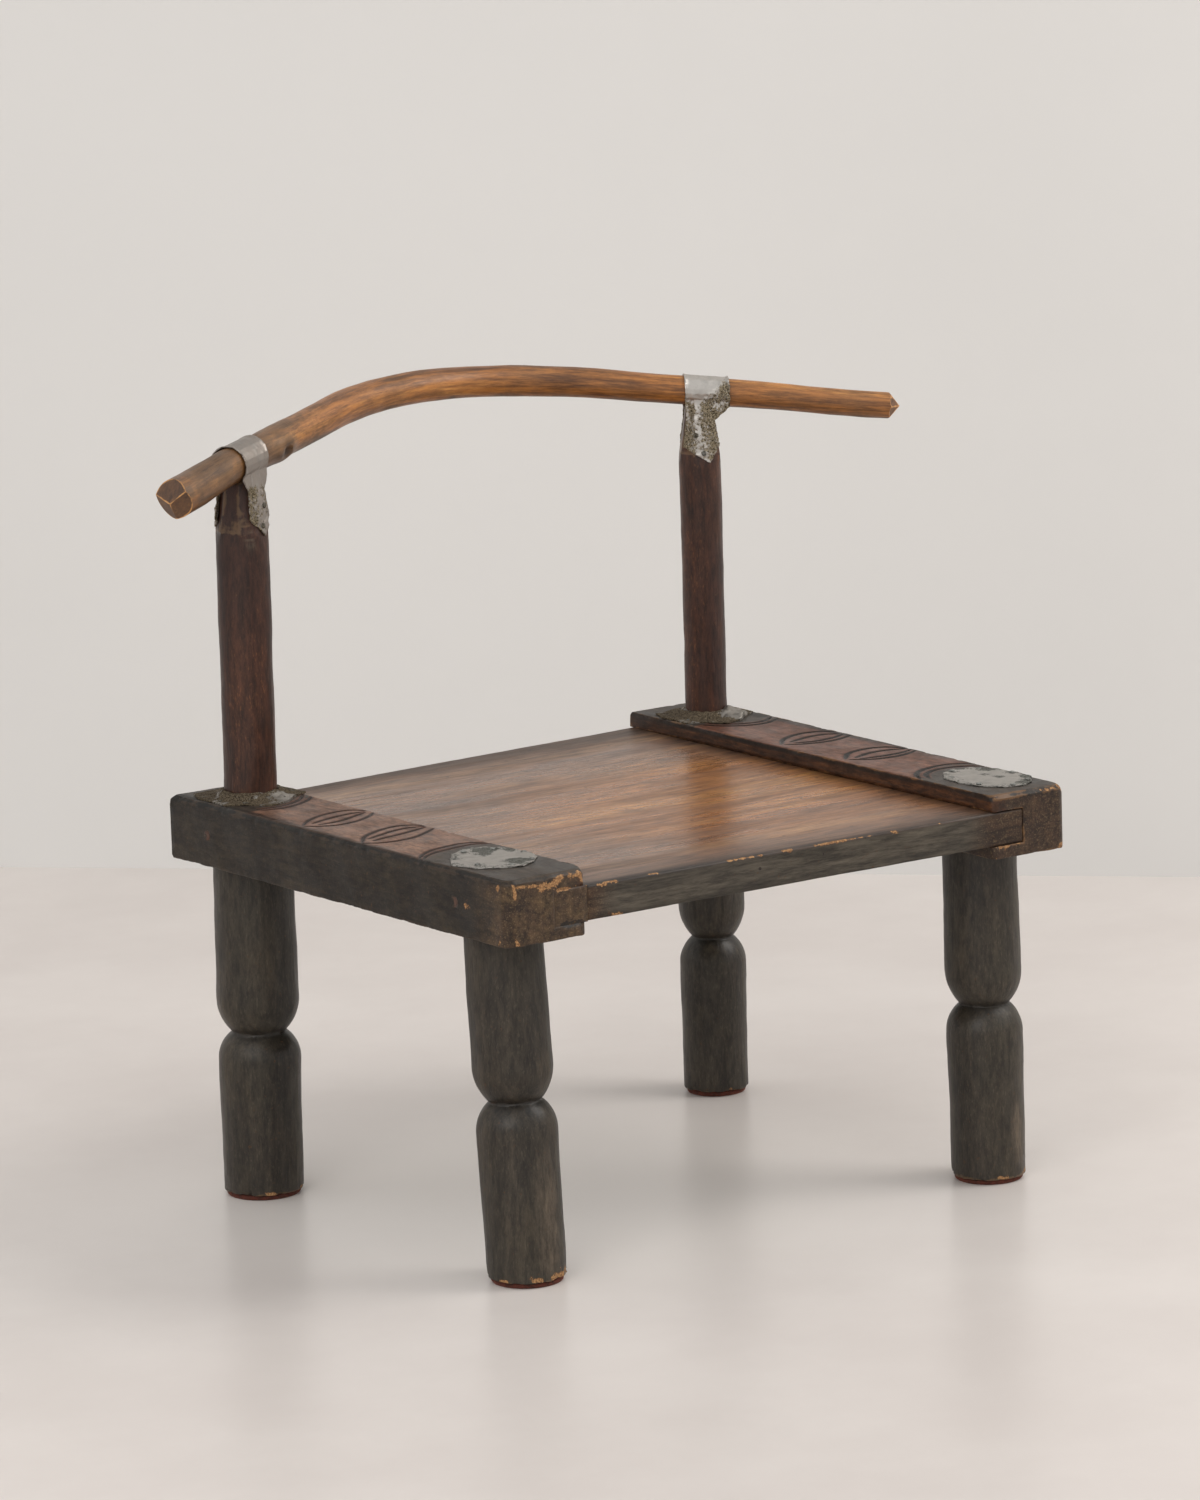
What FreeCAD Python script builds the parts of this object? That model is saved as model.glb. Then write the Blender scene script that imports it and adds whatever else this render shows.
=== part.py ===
# Low birthing chair: a plank seat housed in two hewn side rails, four turned legs whose tenons
# go up through the rails, the rear two rising as posts, and a bent branch strapped over the posts.
# Millimetres. +Z is up, the sitter looks towards -Y, and left and right are as seen from the front.
# Places are first given from the middle of the seat; the origin ends up on the floor under the
# middle of the chair's whole outline.
import FreeCAD, Part
import math
import os
import re

import Sketcher
from FreeCAD import Placement, Rotation, Vector

SIZES = {
    # Side rails: inner faces at their middles, splay of each rail in degrees, timber wider at the rear
    "rail_top": 306.0,
    "rail_depth": 48.2,
    "rail_front_width": 69.0,
    "rail_rear_width": 75.0,
    "rail_lip": 12.5,
    "rail_bevel": 3.0,
    "rail_corner_radius": 8.0,
    "left_rail_reach": 182.5,
    "left_rail_middle": -1.5,
    "left_rail_length": 433.0,
    "left_rail_splay": 0.0,
    "right_rail_reach": 185.0,
    "right_rail_middle": 7.0,
    "right_rail_length": 466.0,
    "right_rail_splay": 1.2,
    # Seat board, housed in the rails' grooves
    "board_thickness": 25.5,
    "board_housing": 28.0,
    "board_setback": 0.5,
    "board_edge_radius": 2.0,
    "fit_gap": 0.3,
    # Turned legs: each tenon's place in its rail, from the inner face and from the nearer end, and how
    # far the leg leans from its foot to the rail
    "shoulder_rise": 26.0,
    "lower_shoulder_rise": 21.0,
    "leg_top_taper": 1.0,
    "leg_foot_taper": 0.8,
    "front_left_inset": 25.3,
    "front_left_setback": 70.0,
    "front_left_lean_x": 0.0,
    "front_left_lean_y": 16.3,
    "front_left_width": 58.5,
    "front_left_waist": 37.5,
    "front_left_waist_height": 131.3,
    "front_right_inset": 33.3,
    "front_right_setback": 59.8,
    "front_right_lean_x": 0.0,
    "front_right_lean_y": 3.9,
    "front_right_width": 57.5,
    "front_right_waist": 37.0,
    "front_right_waist_height": 135.3,
    "rear_left_inset": 34.4,
    "rear_left_setback": 49.5,
    "rear_left_lean_x": 1.7,
    "rear_left_lean_y": -1.3,
    "rear_left_width": 62.0,
    "rear_left_waist": 40.0,
    "rear_left_waist_height": 126.2,
    "rear_right_inset": 33.9,
    "rear_right_setback": 58.0,
    "rear_right_lean_x": 0.4,
    "rear_right_lean_y": -0.2,
    "rear_right_width": 53.0,
    "rear_right_waist": 32.5,
    "rear_right_waist_height": 127.3,
    "front_tenon_width": 36.0,
    "tenon_root": 20.0,
    "trim_allowance": 6.0,
    # Foot pads of felt
    "pad_thickness": 4.0,
    "pad_inset": 3.0,
    # Posts: round below, hewn to facets from the shoulder up to the bow
    "left_post_width": 39.6,
    "left_neck_start": 498.0,
    "left_neck_width": 21.5,
    "left_peak_width": 14.0,
    "right_post_width": 32.8,
    "right_neck_start": 507.0,
    "right_neck_width": 18.5,
    "right_peak_width": 11.0,
    "peak_height": 7.0,
    # Bow: height of its centre line over each post, plan angles of the arms, and the bend
    "left_bow_height": 559.6,
    "right_bow_height": 565.3,
    "bow_corner_rise": 24.5,
    "left_arm_angle": 28.0,
    "right_arm_angle": 30.5,
    "left_arm_reach": 113.0,
    "right_arm_reach": 156.0,
    "bow_bend_radius": 238.0,
    "left_tip_width": 27.4,
    "left_bend_width": 26.4,
    "right_bend_width": 23.4,
    "right_tip_width": 20.2,
    "bow_station_step": 28.0,
    "tip_bevel": 11.0,
    "tip_flat_share": 0.35,
    # Straps of thin sheet
    "sheet_thickness": 1.0,
    "strap_width": 35.0,
    "strap_band_drop": 12.0,
    "tongue_neck_width": 23.0,
    "tongue_neck_drop": 22.0,
    "tongue_width": 29.0,
    "tongue_widest_drop": 42.0,
    "tongue_tip_drop": 55.0,
    "left_strap_shift": 0.0,
    "right_strap_shift": 6.0,
    "strap_fill_share": 0.8,
    # Sheet caps over the front tenons, and sheet collars round the posts
    "left_patch_shift_x": -5.2,
    "left_patch_shift_y": 3.0,
    "left_patch_width": 60.0,
    "left_patch_length": 66.0,
    "right_patch_shift_x": 7.3,
    "right_patch_shift_y": 0.2,
    "right_patch_width": 56.0,
    "right_patch_length": 78.0,
    "collar_reach": 20.0,
    "collar_rise": 5.0,
    "collar_turn_up": 7.0,
    "collar_edge_margin": 3.0,
    # Nails and pegs
    "nail_head_width": 4.6,
    "nail_head_thickness": 0.9,
    "nail_width": 1.8,
    "nail_length": 9.0,
    "nail_edge_distance": 5.0,
    "peg_width": 7.5,
    "peg_bite": 3.0,
    "peg_height": 282.0,
    "front_peg_shift": -8.0,
    # One overrun for every cutting tool
    "overrun": 5.0,
}

# Outlines of the hand-cut sheets, as shares of the sheet's half size at equal turns from +X
LEFT_PATCH_SHARES = (0.95, 1.0, 1.08, 1.14, 0.98, 0.97, 1.16, 1.12, 1.0, 1.02, 0.93, 0.97)
RIGHT_PATCH_SHARES = (1.0, 0.98, 1.0, 1.03, 0.97, 1.0, 0.98, 1.02, 1.0, 1.0, 0.96, 1.0)
COLLAR_SHARES = (0.9, 1.0, 0.85, 1.1, 0.95, 1.15, 1.0, 0.88, 1.05, 0.9, 1.12, 1.0, 0.86, 1.04)

# Nails of a strap's tongue: place across as a share of its half width, and down as a share of its drop
STRAP_NAIL_SHARES = ((-0.3, 0.6), (0.1, 0.86))
PATCH_NAILS = 7
COLLAR_NAIL_TURNS = (200.0, 250.0, 310.0, 350.0)

# Flats of the hand-hewn and hammered forms
POST_FLATS = 8
ARM_FLATS = 20
COLLAR_FLATS = 16
NAIL_FLATS = 6
TIP_FLATS = {"left": 5, "right": 6}

UP = Vector(0, 0, 1)
LEGS = ("front_left", "front_right", "rear_left", "rear_right")
SIDES = ("left", "right")

doc = FreeCAD.newDocument("birthing_chair")
sheet = doc.addObject("Spreadsheet::Sheet", "sizes")
pieces = {}


def fill_sheet():
    """One row for each driving size: its name, and its value under the same alias."""
    for row, (name, number) in enumerate(SIZES.items(), start=1):
        sheet.set(f"A{row}", name)
        sheet.set(f"B{row}", str(number))
        sheet.setAlias(f"B{row}", name)
    doc.recompute()


def size(name):
    return float(sheet.get(name))


def bound(text):
    """The expression with every size's name pointed at the sheet."""
    return re.sub(r"[a-z][a-z_]+", lambda word: f"sizes.{word[0]}" if word[0] in SIZES else word[0], text)


def make(kind, label, placement=None, **bindings):
    """A document object whose numbers are tied to expressions."""
    item = doc.addObject(kind, label)
    item.Label = label
    for name, text in bindings.items():
        item.setExpression(name, bound(text))
    if placement is not None:
        item.Placement = placement
    return item


def fuse(label, *items):
    item = doc.addObject("Part::MultiFuse", label)
    item.Label = label
    item.Shapes = list(items)
    return item


def cut(label, base, tool):
    item = doc.addObject("Part::Cut", label)
    item.Label = label
    item.Base = base
    item.Tool = tool
    return item


def common(label, *items):
    item = doc.addObject("Part::MultiCommon", label)
    item.Label = label
    item.Shapes = list(items)
    return item


def outline(sketch, corners, arcs=None):
    """Closed outline with every corner tied to two expressions.

    Corners are joined by straight lines, or by an arc and its radius where arcs gives one after a corner.
    """
    count = len(corners)
    turn = 2 * math.pi / count
    spots = [Vector(math.cos(turn * step), math.sin(turn * step), 0) for step in range(count)]
    for step, (arc, text) in (arcs or {}).items():
        spots[step], spots[(step + 1) % count] = arc.StartPoint, arc.EndPoint
    for step in range(count):
        line = Part.LineSegment(spots[step], spots[(step + 1) % count])
        sketch.addGeometry(arcs[step][0] if arcs and step in arcs else line, False)
    for step, (across, up) in enumerate(corners):
        sketch.addConstraint(Sketcher.Constraint("Coincident", (step - 1) % count, 2, step, 1))
        for kind, text, start in (("DistanceX", across, spots[step].x), ("DistanceY", up, spots[step].y)):
            number = sketch.addConstraint(Sketcher.Constraint(kind, -1, 1, step, 1, start))
            sketch.setExpression(f"Constraints[{number}]", bound(text))
    for step, (arc, text) in (arcs or {}).items():
        number = sketch.addConstraint(Sketcher.Constraint("Radius", step, arc.Radius))
        sketch.setExpression(f"Constraints[{number}]", bound(text))


def body_sketch(body, plane, label, offset=None):
    """A sketch on one of the body's own origin planes, moved along the plane's normal."""
    sketch = body.newObject("Sketcher::SketchObject", label)
    origin_plane = [item for item in body.Origin.OriginFeatures if item.Role == plane][0]
    sketch.AttachmentSupport = [(origin_plane, "")]
    sketch.MapMode = "FlatFace"
    if offset is not None:
        sketch.setExpression("AttachmentOffset.Base.z", bound(offset))
    return sketch


def edges_where(shape, test):
    """Names of the shape's edges for which the test holds."""
    return [f"Edge{number}" for number, edge in enumerate(shape.Edges, start=1) if test(edge)]


def close(value, target):
    return abs(value - target) < size("fit_gap")


def sign(side):
    return -1 if "left" in side else 1


def leg_placement(leg):
    """Axis of a leg: through its mortise in the rail's underside, down to the floor as the leg leans."""
    end, side = leg.split("_")
    run = size(f"{side}_rail_length") / 2 - size(f"{leg}_setback")
    along = -run if end == "front" else run
    mortise = rail_placement(side).multVec(Vector(sign(side) * size(f"{leg}_inset"), along, 0))
    lean = Vector(size(f"{leg}_lean_x"), size(f"{leg}_lean_y"), mortise.z - size("pad_thickness"))
    return Placement(mortise - lean * (mortise.z / lean.z), Rotation(UP, lean))


def on_leg_axis(leg, height):
    """The point of a leg's axis at a height above the floor."""
    place = leg_placement(leg)
    along = place.Rotation.multVec(UP)
    return place.Base + along * (height / along.z)


def rail_placement(side):
    """Rail frame: origin at the middle of its inner bottom edge, X outwards for the right rail."""
    reach = sign(side) * size(f"{side}_rail_reach")
    base = Vector(reach, size(f"{side}_rail_middle"), size("rail_top") - size("rail_depth"))
    return Placement(base, Rotation(UP, -sign(side) * size(f"{side}_rail_splay")))


def rail_blank(side):
    """Rail before its mortises: a plank wider at the rear, grooved, with worn arrises."""
    body = doc.addObject("PartDesign::Body", f"rail_{side}_blank")
    half_length = f"{side}_rail_length / 2"
    plan = body_sketch(body, "XY_Plane", f"rail_{side}_plan")
    outline(
        plan,
        [
            ("0", f"-{half_length}"),
            (f"{sign(side)} * rail_front_width", f"-{half_length}"),
            (f"{sign(side)} * rail_rear_width", half_length),
            ("0", half_length),
        ],
    )
    plank = body.newObject("PartDesign::Pad", f"rail_{side}_plank")
    plank.Profile = plan
    plank.setExpression("Length", bound("rail_depth"))

    section = body_sketch(body, "XZ_Plane", f"rail_{side}_groove_section", f"-{half_length} - overrun")
    inner = f"{-sign(side)} * overrun"
    floor = f"{sign(side)} * (board_housing + fit_gap)"
    top = "rail_depth - rail_lip"
    base = f"{top} - board_thickness - 2 * fit_gap"
    outline(section, [(inner, base), (floor, base), (floor, top), (inner, top)])
    groove = body.newObject("PartDesign::Pocket", f"rail_{side}_groove")
    groove.Profile = section
    groove.Reversed = True
    groove.setExpression("Length", bound(f"{side}_rail_length + 2 * overrun"))
    doc.recompute()
    if groove.Shape.Volume >= plank.Shape.Volume:
        raise RuntimeError(f"the groove of the {side} rail took nothing away")

    front, rear = -size(f"{side}_rail_length") / 2, size(f"{side}_rail_length") / 2

    def is_front_corner(edge):
        low, high = (vertex.Point for vertex in edge.Vertexes)
        return close(low.x, high.x) and close(low.y, front) and close(high.y, front) and not (
            close(low.z, high.z) or abs(low.x) < size("rail_front_width") / 2
        )

    corner = body.newObject("PartDesign::Fillet", f"rail_{side}_worn_corner")
    corner.Base = (groove, edges_where(groove.Shape, is_front_corner))
    corner.setExpression("Radius", bound("rail_corner_radius"))
    doc.recompute()

    def is_top_arris(edge):
        low, high = (vertex.Point for vertex in edge.Vertexes)
        on_top = close(low.z, size("rail_depth")) and close(high.z, size("rail_depth"))
        inner_arris = close(low.x, 0) and close(high.x, 0)
        return on_top and not inner_arris

    bevel = body.newObject("PartDesign::Chamfer", f"rail_{side}_worn_arrises")
    bevel.Base = (corner, edges_where(corner.Shape, is_top_arris))
    bevel.setExpression("Size", bound("rail_bevel"))
    body.Tip = bevel
    body.Placement = rail_placement(side)
    return body


def board_blank():
    """Seat board before its tenon notches: its side edges run parallel to the rails' grooves."""
    body = doc.addObject("PartDesign::Body", "seat_board_blank")
    sketch = body_sketch(body, "XY_Plane", "seat_board_outline")
    corners = []
    for side, ends in (("left", (-1, 1)), ("right", (1, -1))):
        for end in ends:
            setback = "- board_setback" if end < 0 else ""
            run = f"{end} * ({side}_rail_length / 2 {setback})"
            reach = f"{side}_rail_reach + board_housing + {run} * tan({side}_rail_splay * 1 deg)"
            corners.append((f"{sign(side)} * ({reach})", f"{side}_rail_middle + {run}"))
    outline(sketch, corners)
    pad = body.newObject("PartDesign::Pad", "seat_board_plank")
    pad.Profile = sketch
    pad.setExpression("Length", bound("board_thickness"))
    doc.recompute()

    def is_worn_edge(edge):
        low, high = (vertex.Point for vertex in edge.Vertexes)
        return close(low.z, high.z) and abs(high.x - low.x) > size("left_rail_reach")

    worn = body.newObject("PartDesign::Fillet", "seat_board_worn_edges")
    worn.Base = (pad, edges_where(pad.Shape, is_worn_edge))
    worn.setExpression("Radius", bound("board_edge_radius"))
    body.Tip = worn
    floor = size("rail_top") - size("rail_lip") - size("fit_gap") - size("board_thickness")
    body.Placement = Placement(Vector(0, 0, floor), Rotation())
    return body


def turned_leg(leg):
    """Turned leg below the rail: two round-shouldered drums that meet at a sharp waist."""
    body = doc.addObject("PartDesign::Body", f"{leg}_turning")
    sketch = body_sketch(body, "XZ_Plane", f"{leg}_profile")
    half, neck, waist = f"{leg}_width / 2", f"{leg}_waist / 2", f"{leg}_waist_height"
    depth = size(f"{leg}_width") / 2 - size(f"{leg}_waist") / 2
    arcs = {}
    for corner, rise, way in ((2, "lower_shoulder_rise", -1), (3, "shoulder_rise", 1)):
        radius = (size(rise) ** 2 + depth ** 2) / (2 * depth)
        centre = Vector(size(f"{leg}_width") / 2 - radius, size(f"{leg}_waist_height") + way * size(rise), 0)
        sweep = math.asin(size(rise) / radius)
        text = f"(({rise}) ^ 2 + ({half} - {neck}) ^ 2) / (2 * ({half} - {neck}))"
        angles = (0, sweep) if way < 0 else (-sweep, 0)
        arcs[corner] = (Part.ArcOfCircle(Part.Circle(centre, UP, radius), *angles), text)
    top = "rail_top - rail_depth + trim_allowance"
    base = "pad_thickness - trim_allowance"
    corners = [
        ("0", base),
        (f"{half} - leg_foot_taper", base),
        (half, f"{waist} - lower_shoulder_rise"),
        (neck, waist),
        (half, f"{waist} + shoulder_rise"),
        (f"{half} - leg_top_taper", top),
        ("0", top),
    ]
    outline(sketch, corners, arcs)
    turning = body.newObject("PartDesign::Revolution", f"{leg}_revolution")
    turning.Profile = sketch
    turning.ReferenceAxis = (sketch, ["V_Axis"])
    turning.Angle = 360.0
    body.Tip = turning
    body.Placement = leg_placement(leg)
    return body


def level_slab(label, low, high):
    """A block wider than the chair between two heights, to trim leaning pieces level."""
    span = "2 * (left_rail_length + right_rail_length)"
    block = make("Part::Box", label, Length=span, Width=span, Height=f"({high}) - ({low})")
    block.setExpression("Placement.Base.x", bound(f"-({span}) / 2"))
    block.setExpression("Placement.Base.y", bound(f"-({span}) / 2"))
    block.setExpression("Placement.Base.z", bound(low))
    return block


def rod_on_leg(label, leg, width, low, high):
    """A round bar along a leg's axis."""
    place = leg_placement(leg)
    bar = make("Part::Cylinder", label, Radius=f"({width}) / 2", Height=f"({high}) - ({low})")
    base = on_leg_axis(leg, 0) + place.Rotation.multVec(UP) * (size("rail_top") - size("rail_depth"))
    start = size("tenon_root") if low.endswith("tenon_root") else 0
    bar.Placement = Placement(base - place.Rotation.multVec(UP) * start, place.Rotation)
    return bar


def tenon_width(leg):
    return "front_tenon_width" if leg.startswith("front") else f"{leg[5:]}_post_width"


def bow_frame():
    """Centre line of the bow: where it crosses each post, its corner, and its arms' directions."""
    crossings = {side: on_leg_axis(f"rear_{side}", size(f"{side}_bow_height")) for side in SIDES}
    left, right = crossings["left"], crossings["right"]
    left_slope = math.tan(math.radians(size("left_arm_angle")))
    right_slope = math.tan(math.radians(size("right_arm_angle")))
    x = (right.y - left.y + left_slope * left.x + right_slope * right.x) / (left_slope + right_slope)
    y = left.y + left_slope * (x - left.x)
    z = (left.z + right.z) / 2 + size("bow_corner_rise")
    corner = Vector(x, y, z)
    outwards = {side: (crossings[side] - corner).normalize() for side in SIDES}
    return crossings, corner, outwards


def bow_width_at(share):
    """Width of the branch at a share of the way along a list of four stages."""
    stages = [size(name) for name in ("left_tip_width", "left_bend_width", "right_bend_width", "right_tip_width")]
    stage = min(int(share), 2)
    return stages[stage] + (stages[stage + 1] - stages[stage]) * (share - stage)


def bow_course():
    """Stations along the bow: point, direction, width. Straight arms joined by one round bend."""
    crossings, corner, outwards = bow_frame()
    left, right = outwards["left"], outwards["right"]
    turn = math.pi - left.getAngle(right)
    tangent = size("bow_bend_radius") * math.tan(turn / 2)
    inward = (left + right).normalize()
    centre = corner + inward * (size("bow_bend_radius") / math.cos(turn / 2))
    start, finish = corner + left * tangent, corner + right * tangent
    normal = (start - centre).cross(finish - centre).normalize()
    tips = {
        side: crossings[side] + outwards[side] * size(f"{side}_arm_reach") for side in SIDES
    }
    stations = [(tips["left"], left * -1, bow_width_at(0))]
    steps = max(4, round(turn * size("bow_bend_radius") / size("bow_station_step")))
    for step in range(steps + 1):
        share = step / steps
        turned = Rotation(normal, math.degrees(turn * share))
        point = centre + turned.multVec(start - centre)
        stations.append((point, turned.multVec(left * -1), bow_width_at(1 + share)))
    stations.append((tips["right"], right, bow_width_at(3)))
    return stations


def arm_width_at(side, distance):
    """Width of a straight arm at a distance outwards from the post."""
    _, corner, outwards = bow_frame()
    crossings, _, _ = bow_frame()
    turn = math.pi - outwards["left"].getAngle(outwards["right"])
    inner = (crossings[side] - corner).Length - size("bow_bend_radius") * math.tan(turn / 2)
    share = (inner + distance) / (inner + size(f"{side}_arm_reach"))
    bend, tip = size(f"{side}_bend_width"), size(f"{side}_tip_width")
    return bend + (tip - bend) * share


def branch():
    """The bent branch: a loft through round sections along its course."""
    sections = []
    for number, (point, along, width) in enumerate(bow_course()):
        ring = doc.addObject("Part::Circle", f"bow_section_{number}")
        ring.Radius = width / 2
        ring.Placement = Placement(point, Rotation(UP, along))
        sections.append(ring)
    loft = doc.addObject("Part::Loft", "bow_branch")
    loft.Sections = sections
    loft.Solid = True
    loft.Ruled = True
    return loft


def facet_loft(label, place, count, low, low_width, high, high_width):
    """A tapering prism of flat facets between two heights of a placement's axis; widths across flats."""
    rings = []
    for end, level, width in (("low", low, low_width), ("high", high, high_width)):
        ring = doc.addObject("Part::RegularPolygon", f"{label}_{end}")
        ring.Polygon = count
        ring.Circumradius = width / 2 / math.cos(math.pi / count)
        ring.Placement = place * Placement(Vector(0, 0, level), Rotation(UP, math.degrees(math.pi / count)))
        rings.append(ring)
    loft = doc.addObject("Part::Loft", label)
    loft.Sections = rings
    loft.Solid = True
    loft.Ruled = True
    return loft


def arm_heading(side):
    """Plan direction of an arm, outwards along the bow, and the level direction square to it."""
    _, _, outwards = bow_frame()
    flat = Vector(outwards[side].x, outwards[side].y, 0).normalize()
    return flat, UP.cross(flat)


def neck_facets(label, side, grow):
    """The hewn neck of a post, grown by a gap on every face."""
    leg = f"rear_{side}"
    flat, _ = arm_heading(side)
    along = leg_placement(leg).Rotation
    heading = Rotation(UP, math.degrees(math.atan2(flat.y, flat.x)))
    place = Placement(on_leg_axis(leg, size(f"{side}_neck_start")), along * heading)
    start, neck = size(f"{side}_post_width"), size(f"{side}_neck_width")
    rise = size(f"{side}_bow_height") - size(f"{side}_neck_start")
    taper = (start - neck) / rise
    below = size(f"{side}_neck_start") - (size("rail_top") - size("rail_depth") - size("tenon_root"))
    below = below + size("overrun")
    return facet_loft(label, place, POST_FLATS, -below, start + taper * below + 2 * grow,
                      rise, neck + 2 * grow)


def arm_form(label, side, grow):
    """The bow's arm where it crosses a post, as many narrow flats grown by a gap, longer than the strap."""
    crossings, _, outwards = bow_frame()
    reach = size("strap_width")
    place = Placement(crossings[side] - outwards[side] * reach, Rotation(UP, outwards[side]))
    low, high = (arm_width_at(side, distance) + 2 * grow for distance in (-reach, reach))
    return facet_loft(label, place, ARM_FLATS, 0, low, 2 * reach, high)


def strap_fill(label, side, grow):
    """Level wedge between arm and neck, over which the sheet runs flat beside the neck's facets."""
    crossings, _, _ = bow_frame()
    flat, across = arm_heading(side)
    drop = size("tongue_tip_drop") + size("overrun")
    share = size("strap_fill_share") / 2
    wedge = doc.addObject("Part::Wedge", label)
    low = size(f"{side}_post_width") * share + grow
    high = arm_width_at(side, 0) * share + grow
    reach = size("strap_width")
    wedge.Xmin, wedge.Xmax, wedge.X2min, wedge.X2max = -reach, reach, -reach, reach
    wedge.Zmin, wedge.Zmax, wedge.Z2min, wedge.Z2max = -low, low, -high, high
    wedge.Ymin, wedge.Ymax = 0, drop
    frame = Rotation(flat, UP, across * -1, "XYZ")
    wedge.Placement = Placement(crossings[side] - UP * drop, frame)
    return wedge


def strap_outline(side):
    """Side view of a strap, pushed through both faces: a band over the bow and a spear-shaped tongue."""
    crossings, _, _ = bow_frame()
    flat, across = arm_heading(side)
    sketch = doc.addObject("Sketcher::SketchObject", f"strap_{side}_outline")
    sketch.Placement = Placement(crossings[side], Rotation(flat, UP, flat.cross(UP), "XYZ"))
    shift = f"{side}_strap_shift"
    head = "left_tip_width"
    outline(
        sketch,
        [
            (f"{shift} - strap_width / 2", head),
            (f"{shift} - strap_width / 2", "-strap_band_drop"),
            ("-tongue_neck_width / 2", "-tongue_neck_drop"),
            ("-tongue_width / 2", "-tongue_widest_drop"),
            (shift, "-tongue_tip_drop"),
            ("tongue_width / 2", "-tongue_widest_drop"),
            ("tongue_neck_width / 2", "-tongue_neck_drop"),
            (f"{shift} + strap_width / 2", "-strap_band_drop"),
            (f"{shift} + strap_width / 2", head),
        ],
    )
    spear = make("Part::Extrusion", f"strap_{side}_spear", LengthFwd="2 * left_post_width")
    spear.Base = sketch
    spear.DirMode = "Normal"
    spear.Solid = True
    spear.Symmetric = True
    return spear


def strap_sheet(side):
    """Sheet that follows the bow and the neck's facets: the space between two grown forms."""
    forms = {}
    for name, grow in (("inner", size("fit_gap")), ("outer", size("fit_gap") + size("sheet_thickness"))):
        forms[name] = fuse(
            f"strap_{side}_{name}",
            arm_form(f"strap_{side}_{name}_arm", side, grow),
            strap_fill(f"strap_{side}_{name}_fill", side, grow),
            neck_facets(f"strap_{side}_{name}_neck", side, grow),
        )
    shell = cut(f"strap_{side}_shell", forms["outer"], forms["inner"])
    return common(f"strap_{side}_sheet", shell, strap_outline(side))


def nail_set(label, seats):
    """Forged nails as one group, and the bars that bore their holes. A seat is a point and an inward way."""
    nails, bores = [], []
    for number, (point, inward) in enumerate(seats):
        turn = Rotation(UP, inward)
        head = make("Part::Prism", f"{label}_head_{number}", Circumradius="nail_head_width / 2",
                    Height="nail_head_thickness")
        head.Polygon = NAIL_FLATS
        head.Placement = Placement(point - inward * size("nail_head_thickness"), turn)
        bars = []
        for name, length, start in (("shank", "nail_length", 0), ("bore", "nail_length + overrun", -1)):
            bar = make("Part::Box", f"{label}_{name}_{number}", Length="nail_width", Width="nail_width",
                       Height=length)
            offset = Vector(-size("nail_width") / 2, -size("nail_width") / 2, start * size("overrun"))
            bar.Placement = Placement(point, turn) * Placement(offset, Rotation())
            bars.append(bar)
        nails.append(fuse(f"{label}_nail_{number}", head, bars[0]))
        bores.append(bars[1])
    group = doc.addObject("Part::Compound", label)
    group.Label = label
    group.Links = nails
    return group, fuse(f"{label}_bores", *bores)


def strap_nail_seats(side):
    """Nails down the tongue, on the front and on the back of the neck."""
    crossings, _, _ = bow_frame()
    flat, across = arm_heading(side)
    rise = size(f"{side}_bow_height") - size(f"{side}_neck_start")
    taper = (size(f"{side}_post_width") - size(f"{side}_neck_width")) / 2 / rise
    lean = math.atan(taper)
    sheet_out = (size("fit_gap") + size("sheet_thickness")) / math.cos(lean)
    seats = []
    for face in (-1, 1):
        for along, down in STRAP_NAIL_SHARES:
            drop = down * size("tongue_tip_drop")
            run = along * size("tongue_width") / 2
            out = size(f"{side}_neck_width") / 2 + taper * drop + sheet_out
            axis = on_leg_axis(f"rear_{side}", crossings[side].z - drop)
            inward = across * (-face * math.cos(lean)) - UP * math.sin(lean)
            seats.append((axis + flat * run + across * (face * out), inward))
    return seats


def sheet_outline(label, shares, width, length, place):
    """A hand-cut flat sheet: corners at equal turns, each at its own share of the half sizes."""
    body = doc.addObject("PartDesign::Body", f"{label}_body")
    sketch = body_sketch(body, "XY_Plane", f"{label}_outline")
    step = 360.0 / len(shares)
    corners = []
    for number, share in enumerate(shares):
        turn = f"({number * step} * 1 deg)"
        corners.append((f"{share} * ({width}) / 2 * cos{turn}", f"{share} * ({length}) / 2 * sin{turn}"))
    outline(sketch, corners)
    pad = body.newObject("PartDesign::Pad", f"{label}_pad")
    pad.Profile = sketch
    pad.setExpression("Length", bound("sheet_thickness"))
    body.Tip = pad
    body.Placement = place
    return body


def tenon_patch(side):
    """Sheet cap over a front tenon, and its nails round the rim."""
    shares = LEFT_PATCH_SHARES if side == "left" else RIGHT_PATCH_SHARES
    shift = Vector(size(f"{side}_patch_shift_x"), size(f"{side}_patch_shift_y"), 0)
    middle = on_leg_axis(f"front_{side}", size("rail_top")) + shift
    place = Placement(middle, Rotation())
    plate = sheet_outline(f"patch_{side}", shares, f"{side}_patch_width", f"{side}_patch_length", place)
    seats = []
    for number in range(PATCH_NAILS):
        turn = 2 * math.pi * number / PATCH_NAILS
        run_x = size(f"{side}_patch_width") / 2 - size("nail_edge_distance")
        run_y = size(f"{side}_patch_length") / 2 - size("nail_edge_distance")
        point = middle + Vector(run_x * math.cos(turn), run_y * math.sin(turn), size("sheet_thickness"))
        seats.append((point, UP * -1))
    nails, bores = nail_set(f"patch_nails_{side}", seats)
    return plate, nails, bores


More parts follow.
